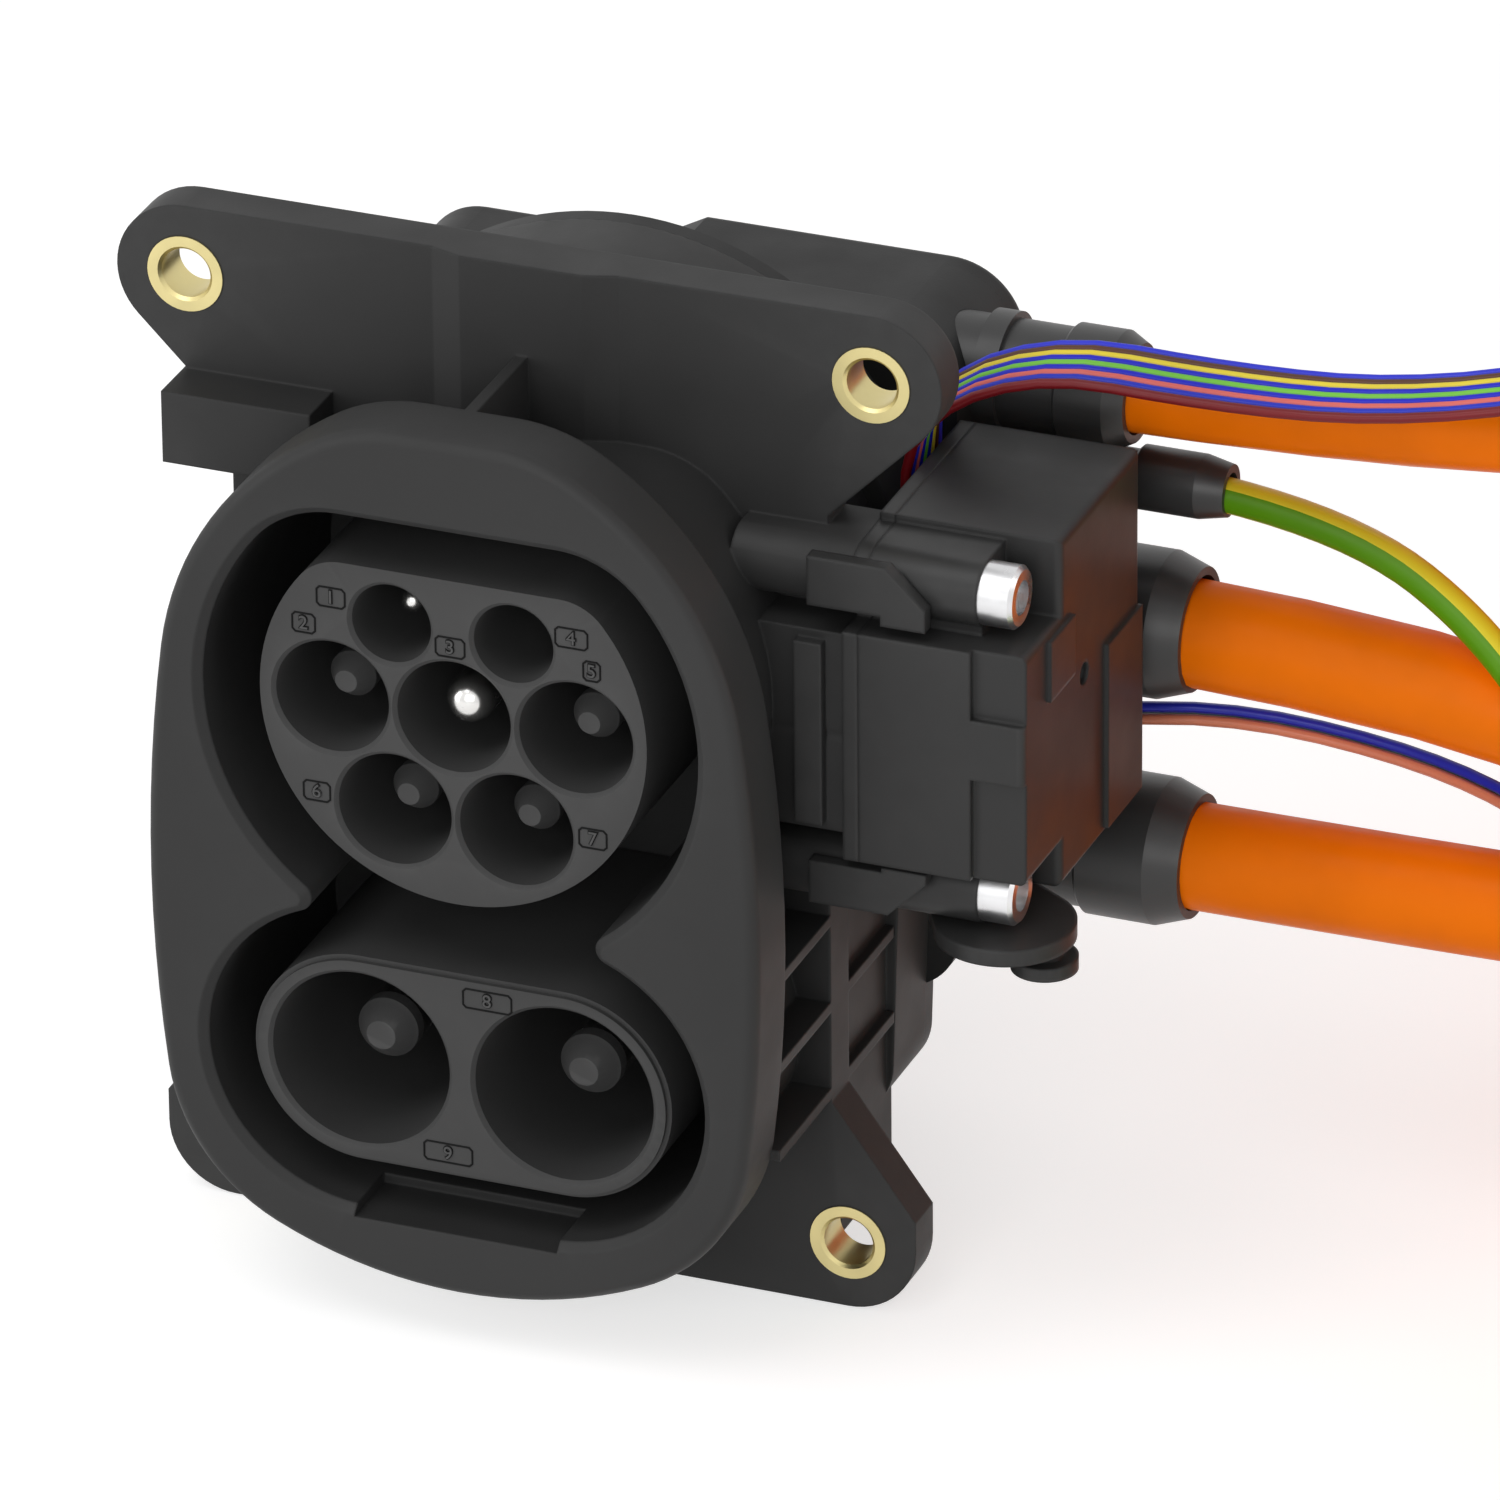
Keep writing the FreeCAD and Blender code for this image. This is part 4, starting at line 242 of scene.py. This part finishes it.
def moulded(name, colour, rough, grain=2600.0, grain_depth=0.00003, gloss=0.25, edge=0.0):
    """Moulded plastic: fine grain, faint flow marks and a painted highlight that makes the edges
    paler.
    """
    s = Shader(name)
    s.surface.inputs["Specular IOR Level"].default_value = gloss
    flow = s.ramp(s.noise(22.0), shade(colour, 0.9), shade(colour, 1.1))
    # Painted highlight: edges that stick out, found by pointiness, are painted 1.5 to 1.8 times
    # paler.
    corners = s.nodes.new("ShaderNodeNewGeometry").outputs["Pointiness"]
    edge_highlight_mask = s.ramp(corners, (0, 0, 0), (0.5, 0.5, 0.5), 0.54, 0.62)
    pale = s.ramp(s.noise(300.0), shade(colour, 1.5), shade(colour, 1.8))
    s.paint(s.mix(edge_highlight_mask, flow, pale))
    s.roughen(s.span(s.noise(90.0), rough - 0.05, rough + 0.06))
    s.bump(s.noise(grain, 2.0), 0.35, grain_depth, edge)
    return s.material


def metal(name, colour, rough, turned=(1, 1, 1), scale=900.0):
    """Machined or plated metal with fine tool marks and slight tarnish."""
    s = Shader(name)
    s.surface.inputs["Metallic"].default_value = 1.0
    s.paint(s.ramp(s.noise(120.0), shade(colour, 0.86), colour))
    s.roughen(s.span(s.noise(240.0), rough - 0.05, rough + 0.07))
    s.bump(s.noise(scale, 3.0, turned), 0.25, 0.00003)
    return s.material


def sheath(name, colour, rough=0.42, gloss=0.3):
    """Extruded cable sheath: satin, with faint lengthwise waviness and dust."""
    s = Shader(name)
    s.surface.inputs["Specular IOR Level"].default_value = gloss
    s.paint(s.ramp(s.noise(60.0), shade(colour, 0.93), shade(colour, 1.05)))
    s.roughen(s.span(s.noise(150.0), rough - 0.06, rough + 0.08))
    s.bump(s.noise(420.0, 2.0), 0.12, 0.00008)
    return s.material


# Cords


def turns(centre_y, columns, layers):
    """Points of a coil: round each layer of a column, then a step to the next."""
    points, stops = [], []
    for column, radius in enumerate(columns):
        order = layers if column % 2 == 0 else layers[::-1]
        stops += [(radius, height) for height in order]
    for k, (radius, height) in enumerate(stops):
        after = stops[min(k + 1, len(stops) - 1)]
        for n in range(POINTS_PER_TURN):
            angle = math.radians(-90 + 360 * n / POINTS_PER_TURN)
            share = max(0.0, (n - STEP_FROM) / (POINTS_PER_TURN - STEP_FROM))
            r = radius + (after[0] - radius) * share
            z = height + (after[1] - height) * share
            points.append((COIL_X + r * math.cos(angle), centre_y + r * math.sin(angle), z))
    return points


def layers_from(first, step, count):
    return [first + step * k for k in range(count)]


def nurbs(name, points, radius=0.0):
    """A smooth round cord with these control points."""
    data = bpy.data.curves.new(name, "CURVE")
    data.dimensions = "3D"
    data.resolution_u = 5
    data.bevel_depth = radius * MM
    data.bevel_resolution = 6
    data.use_fill_caps = True
    spline = data.splines.new("NURBS")
    spline.points.add(len(points) - 1)
    for control, point in zip(spline.points, points):
        control.co = (*metres(point), 1)
    spline.order_u = 3
    spline.use_endpoint_u = True
    thing = bpy.data.objects.new(name, data)
    bpy.context.scene.collection.objects.link(thing)
    return thing


def centreline(name, points, free=0):
    """The points of the smooth line itself, in metres, closer together on a free stretch."""
    guide = nurbs(name + "_guide", points)
    steps = LINE_STEPS * FREE_FINENESS if free else LINE_STEPS
    guide.data.resolution_u = steps
    bpy.context.view_layer.update()
    line = [v.co.copy() for v in bpy.data.meshes.new_from_object(guide).vertices]
    bpy.data.objects.remove(guide)
    if free:
        coiled = free * steps
        line = line[:coiled] + line[coiled::FREE_FINENESS]
    return line


def gathering(along):
    """How far flat wires have drawn together at this share of their length."""
    start, end = GATHERED
    share = min(1.0, max(0.0, (along - start) / (end - start)))
    return share * share * (3 - 2 * share)


def across(direction):
    """The flat way of a band: level and square to a lying line, along Y where it rises."""
    level = Vector((-direction.y, direction.x, 0))
    blend = min(1.0, level.length)
    return (Vector((0, 1, 0)) * (1 - blend) + level * blend).normalized()


def strands(name, line, offsets, radius, colours, sides=8, bunched=None):
    """Wires side by side along a line, one colour each, that may draw together past GATHERED."""
    vertices, faces, slots = [], [], []
    for index, flat_place in enumerate(offsets):
        first = len(vertices)
        for k, point in enumerate(line):
            share = gathering(k / (len(line) - 1)) if bunched else 0
            bunch_place = bunched[index] if bunched else flat_place
            wide, high = (a + (b - a) * share for a, b in zip(flat_place, bunch_place))
            ahead = line[min(k + 1, len(line) - 1)] - line[max(k - 1, 0)]
            direction = ahead.normalized()
            flat = across(direction)
            flat = (flat - direction * flat.dot(direction)).normalized()
            up = direction.cross(flat)
            middle = point + (flat * wide + up * high) * MM
            for n in range(sides):
                turn = 2 * math.pi * n / sides
                ring = flat * math.cos(turn) + up * math.sin(turn)
                vertices.append(middle + ring * radius * MM)
        for k in range(len(line) - 1):
            for n in range(sides):
                a = first + k * sides + n
                b = first + k * sides + (n + 1) % sides
                faces.append((a, b, b + sides, a + sides))
                slots.append(index)
        last = first + (len(line) - 1) * sides
        faces.append(tuple(first + n for n in reversed(range(sides))))
        faces.append(tuple(last + n for n in range(sides)))
        slots += [index, index]
    mesh = bpy.data.meshes.new(name)
    mesh.from_pydata([tuple(v) for v in vertices], [], faces)
    mesh.polygons.foreach_set("material_index", slots)
    mesh.polygons.foreach_set("use_smooth", [True] * len(faces))
    for colour_name, colour in colours:
        mesh.materials.append(sheath(colour_name, colour, 0.35))
    thing = bpy.data.objects.new(name, mesh)
    bpy.context.scene.collection.objects.link(thing)
    return thing


def striped_tube(name, line, radius, bands, sides=24):
    """A round cable whose insulation has lengthwise bands of two colours."""
    cable = strands(name, line, [(0, 0)], radius, bands, sides)
    around = [((n + sides // 8) * 4 // sides) % 2 == 0 for n in range(sides)]
    for k, face in enumerate(cable.data.polygons):
        if len(face.vertices) == 4:
            face.material_index = 0 if around[k % sides] else 1
    return cable


def make_power_cables():
    """The three orange cables and their coils."""
    orange = (0.95, 0.19, 0.0)
    dc_step, ac_step = 2 * DC_RADIUS, 2 * AC_RADIUS
    dc_columns, ac_columns = [DC_COIL_RADIUS], [AC_OUTER, AC_INNER]
    dc_plus = turns(DC_COIL_Y, dc_columns, layers_from(DC_PLUS_LOW, dc_step, DC_LAYERS))
    dc_minus = turns(DC_COIL_Y, dc_columns, layers_from(DC_MINUS_HIGH, -dc_step, DC_LAYERS))
    ac = turns(AC_COIL_Y, ac_columns, layers_from(AC_LOW, ac_step, AC_LAYERS))
    for name, route, coil, radius in (
        ("dc_plus", DC_PLUS_ROUTE, dc_plus, DC_RADIUS),
        ("dc_minus", DC_MINUS_ROUTE, dc_minus, DC_RADIUS),
        ("ac", AC_ROUTE, ac, AC_RADIUS),
    ):
        points = route + coil
        cable = nurbs(f"{name}_orange_cable", points, radius)
        cable.data.materials.append(sheath(f"{name}_orange_sheath", orange, 0.42, 0.1))
        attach(cable, "housing")
        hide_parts(f"{name}_cable", f"{name}_coil")
        centreline(name, points)


def make_earth_cable():
    """The green and yellow earth cable."""
    layers = layers_from(PE_HIGH, -2 * PE_RADIUS, PE_LAYERS)
    coil = turns(PE_COIL_Y, [PE_OUTER, PE_INNER], layers)
    points = PE_ROUTE + coil
    line = centreline("earth", points, len(PE_ROUTE))
    bands = [("earth_green", (0.10, 0.30, 0.0)), ("earth_yellow", (0.78, 0.68, 0.03))]
    cable = striped_tube("earth_striped_cable", line, PE_RADIUS, bands)
    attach(cable, "housing")
    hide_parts("pe_cable", "pe_coil")


def make_signal_wires():
    """Nine coloured wires side by side, which lie three by three in their coil."""
    rows = layers_from(RIBBON_LOW, RIBBON_PITCH, RIBBON_LAYERS)
    coil = turns(AC_COIL_Y, [RIBBON_OUTER, RIBBON_INNER], rows)
    line = centreline("signal", RIBBON_ROUTE + coil)
    wires = range(len(RIBBON_COLOURS))
    offsets = [((k - 4) * RIBBON_SPACING, 0) for k in wires]
    bunched = [((k % 3 - 1) * RIBBON_SPACING, (k // 3 - 1) * RIBBON_SPACING) for k in wires]
    band = strands(
        "signal_wire_band", line, offsets, STRAND_RADIUS, RIBBON_COLOURS, bunched=bunched
    )
    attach(band, "housing")
    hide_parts("signal_wires", "signal_wire_coil")


def make_sensor_wires():
    """Three thin wires in one bundle."""
    layers = layers_from(SENSOR_HIGH, -2 * SENSOR_RADIUS, SENSOR_LAYERS)
    coil = turns(PE_COIL_Y, [SENSOR_OUTER, SENSOR_INNER], layers)
    line = centreline("sensor", SENSOR_ROUTE + coil)
    reach = SENSOR_RADIUS - SENSOR_STRAND
    around = [math.radians(90 + 120 * k) for k in range(3)]
    offsets = [(reach * math.cos(a), reach * math.sin(a)) for a in around]
    bundle = strands("sensor_wire_bundle", line, offsets, SENSOR_STRAND, SENSOR_COLOURS, 6)
    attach(bundle, "housing")
    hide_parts("sensor_wires", "sensor_wire_coil")


# Details of the face


def raised_number(number, name, fatter, thick, material):
    """A plain number that stands on the insert face."""
    data = bpy.data.curves.new(name, "FONT")
    data.body = str(number)
    data.size = NUMBER_SIZE * MM
    data.extrude = thick * MM
    data.offset = fatter * MM
    data.align_x = data.align_y = "CENTER"
    data.materials.append(material)
    return bpy.data.objects.new(name, data)


def plaque_frame(number, half_wide, material):
    """The thin rounded rib round a number."""
    name = f"number_frame_{number}"
    rib = bpy.data.curves.new(name, "CURVE")
    rib.dimensions = "3D"
    rib.bevel_depth = PLAQUE_RIB * MM
    rib.bevel_resolution = 2
    spline = rib.splines.new("POLY")
    high, cut_off = PLAQUE_HALF_HIGH, PLAQUE_CORNER
    corners = [
        (side * (half_wide - cut * cut_off), end * (high - (1 - cut) * cut_off))
        for side, end, cuts in ((-1, -1, (0, 1)), (1, -1, (1, 0)), (1, 1, (0, 1)), (-1, 1, (1, 0)))
        for cut in cuts
    ]
    spline.points.add(len(corners) - 1)
    for control, (a, b) in zip(spline.points, corners):
        control.co = (a * MM, b * MM, 0, 1)
    spline.use_cyclic_u = True
    rib.materials.append(material)
    return bpy.data.objects.new(name, rib)


def make_plaques():
    """Framed numbers beside the contact wells, with a paler lit top and flanks and frames painted
    dark as shade.
    """
    # Painted shade: flanks and frames are a near-black copy of the plastic, and the number tops a
    # paler lit copy.
    shaded_flank = moulded("plaque_painted_shade_flank", (0.006, 0.006, 0.006), 0.7, gloss=0.1)
    top = moulded("plaque_lit_top", (0.052, 0.052, 0.052), 0.6)
    for number, (insert, x, z, half_wide) in enumerate(PLAQUES, 1):
        face_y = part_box(insert)[0].y / MM
        for piece in (
            plaque_frame(number, half_wide, shaded_flank),
            raised_number(number, f"number_painted_shade_{number}", 0.13, 0.10, shaded_flank),
            raised_number(number, f"number_{number}", 0.0, 0.22, top),
        ):
            piece.rotation_euler = (math.pi / 2, 0, 0)
            piece.location = metres((x, face_y, z))
            bpy.context.scene.collection.objects.link(piece)
            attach(piece, "housing")


def dress_nodes(nodes, subparts):
    """Every CAD part gets its own finish."""
    housing = moulded("housing_grain", (0.026, 0.026, 0.026), 0.55, edge=0.5)
    insert = moulded("insert_smooth", (0.044, 0.044, 0.044), 0.60, 3200.0, 0.00002)
    actuator = moulded("actuator_smooth", (0.024, 0.024, 0.024), 0.40, 3000.0, 0.00002, edge=0.7)
    # Painted shade: the rear housing parts share the housing plastic but get a darker copy of it,
    # 0.009 against 0.026.
    rear_shaded = moulded("rear_housing_shaded_grain", (0.009, 0.009, 0.009), 0.50)
    rubber = moulded("gland_moulding", (0.028, 0.028, 0.028), 0.42, 1800.0, gloss=0.5)
    cap = moulded("tip_cap_plastic", (0.055, 0.055, 0.055), 0.6, 3000.0, 0.00001)
    gear = moulded("gear_natural", (0.62, 0.58, 0.48), 0.4)
    brass = metal("bushing_brass", (0.72, 0.62, 0.30), 0.36)
    steel = metal("screw_steel", (0.78, 0.78, 0.79), 0.30, scale=2400.0)
    silver = metal("contact_silver", (0.80, 0.79, 0.77), 0.22, (1, 0.05, 1))
    copper = metal("busbar_copper", (0.80, 0.42, 0.27), 0.3)
    finishes = {
        "housing_plastic": rear_shaded,
        "insert_plastic": insert,
        "actuator_plastic": actuator,
        "brass_bushing": brass,
        "steel": steel,
        "contact_metal": silver,
        "cap_plastic": cap,
        "gland_rubber": rubber,
        "copper": copper,
        "gear_plastic": gear,
        "motor_metal": steel,
    }
    slots = {s["node"]: s["material_slot"] for s in subparts}
    for name, node in nodes.items():
        finish = finishes.get(slots[name])
        if name == "main_housing":
            finish = housing
        if finish is None:
            continue
        node.data.materials.clear()
        node.data.materials.append(finish)


# Light and floor


def lamp(name, place, target, size, watts, tint=(1, 1, 1)):
    data = bpy.data.lights.new(name, "AREA")
    data.shape = "RECTANGLE"
    data.size, data.size_y = size
    data.energy = watts
    data.color = tint
    light = bpy.data.objects.new(name, data)
    light.location = place
    aim = Vector(target) - Vector(place)
    light.rotation_euler = aim.to_track_quat("-Z", "Y").to_euler()
    bpy.context.scene.collection.objects.link(light)


def background_rays(nodes, links):
    """One for the rays that show the background: camera, glossy and transmission rays."""
    ray = nodes.new("ShaderNodeLightPath")
    seen = ray.outputs["Is Camera Ray"]
    for kind in ("Is Glossy Ray", "Is Transmission Ray"):
        either = nodes.new("ShaderNodeMath")
        either.operation = "MAXIMUM"
        links.new(seen, either.inputs[0])
        links.new(ray.outputs[kind], either.inputs[1])
        seen = either.outputs["Value"]
    return seen


def make_floor():
    """A pale studio floor, partly white of itself, that keeps a soft shadow."""
    mesh = bpy.data.meshes.new("floor")
    reach, z = FLOOR_REACH, FLOOR_Z * MM
    corners = [(-reach, -reach, z), (reach, -reach, z), (reach, reach, z), (-reach, reach, z)]
    mesh.from_pydata(corners, [], [(0, 1, 2, 3)])
    floor = bpy.data.objects.new("floor", mesh)
    bpy.context.scene.collection.objects.link(floor)
    s = Shader("floor_paper")
    s.paint(s.ramp(s.noise(9.0), (0.955, 0.955, 0.955), (0.97, 0.97, 0.97)))
    s.surface.inputs["Roughness"].default_value = 0.9
    glow = s.nodes.new("ShaderNodeEmission")
    glow.inputs["Color"].default_value = (1, 1, 1, 1)
    glow.inputs["Strength"].default_value = FLOOR_GLOW
    mix = s.nodes.new("ShaderNodeMixShader")
    share = s.nodes.new("ShaderNodeMath")
    share.operation = "MULTIPLY"
    share.inputs[1].default_value = GLOW_SHARE
    s.links.new(background_rays(s.nodes, s.links), share.inputs[0])
    s.links.new(share.outputs["Value"], mix.inputs["Fac"])
    s.links.new(s.surface.outputs["BSDF"], mix.inputs[1])
    s.links.new(glow.outputs["Emission"], mix.inputs[2])
    s.links.new(mix.outputs["Shader"], s.nodes["Material Output"].inputs["Surface"])
    mesh.materials.append(s.material)


def make_world():
    """White behind the object, and a dim grey sky for its light."""
    world = bpy.data.worlds.new("studio")
    world.use_nodes = True
    bpy.context.scene.world = world
    nodes, links = world.node_tree.nodes, world.node_tree.links
    sky = nodes["Background"]
    sky.inputs["Color"].default_value = (1, 1, 1, 1)
    sky.inputs["Strength"].default_value = SKY
    white = nodes.new("ShaderNodeBackground")
    white.inputs["Color"].default_value = (1, 1, 1, 1)
    white.inputs["Strength"].default_value = 1.0
    mix = nodes.new("ShaderNodeMixShader")
    links.new(background_rays(nodes, links), mix.inputs["Fac"])
    links.new(sky.outputs["Background"], mix.inputs[1])
    links.new(white.outputs["Background"], mix.inputs[2])
    links.new(mix.outputs["Shader"], nodes["World Output"].inputs["Surface"])


def make_lights():
    """Four soft lamps that aim at the middle of the object."""
    middle = (0.02, 0.0, -0.01)
    lamp("top_light", (-0.3, -0.5, 1.1), middle, (0.8, 0.6), 3.6)
    lamp("left_light", (-1.0, -0.8, 0.35), middle, (0.5, 0.9), 4.5)
    lamp("front_light", (0.25, -1.3, 0.5), middle, (0.9, 0.6), 5.6)
    lamp("right_light", (1.1, 0.2, 0.35), middle, (0.4, 0.8), 1.4, tint=(1.0, 0.91, 0.87))


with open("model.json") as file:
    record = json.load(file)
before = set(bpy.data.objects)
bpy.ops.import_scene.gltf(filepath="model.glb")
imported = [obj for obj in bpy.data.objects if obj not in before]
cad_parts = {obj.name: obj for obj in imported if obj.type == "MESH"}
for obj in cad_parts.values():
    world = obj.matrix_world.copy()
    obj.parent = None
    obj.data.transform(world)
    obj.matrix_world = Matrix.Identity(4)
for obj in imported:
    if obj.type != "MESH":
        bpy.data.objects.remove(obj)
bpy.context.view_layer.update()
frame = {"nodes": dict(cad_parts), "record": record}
bpy.context.scene.view_settings.view_transform = "Standard"
make_camera()
make_power_cables()
make_earth_cable()
make_signal_wires()
make_sensor_wires()
dress_nodes(frame["nodes"], frame["record"]["subparts"])
make_plaques()
make_floor()
make_world()
make_lights()
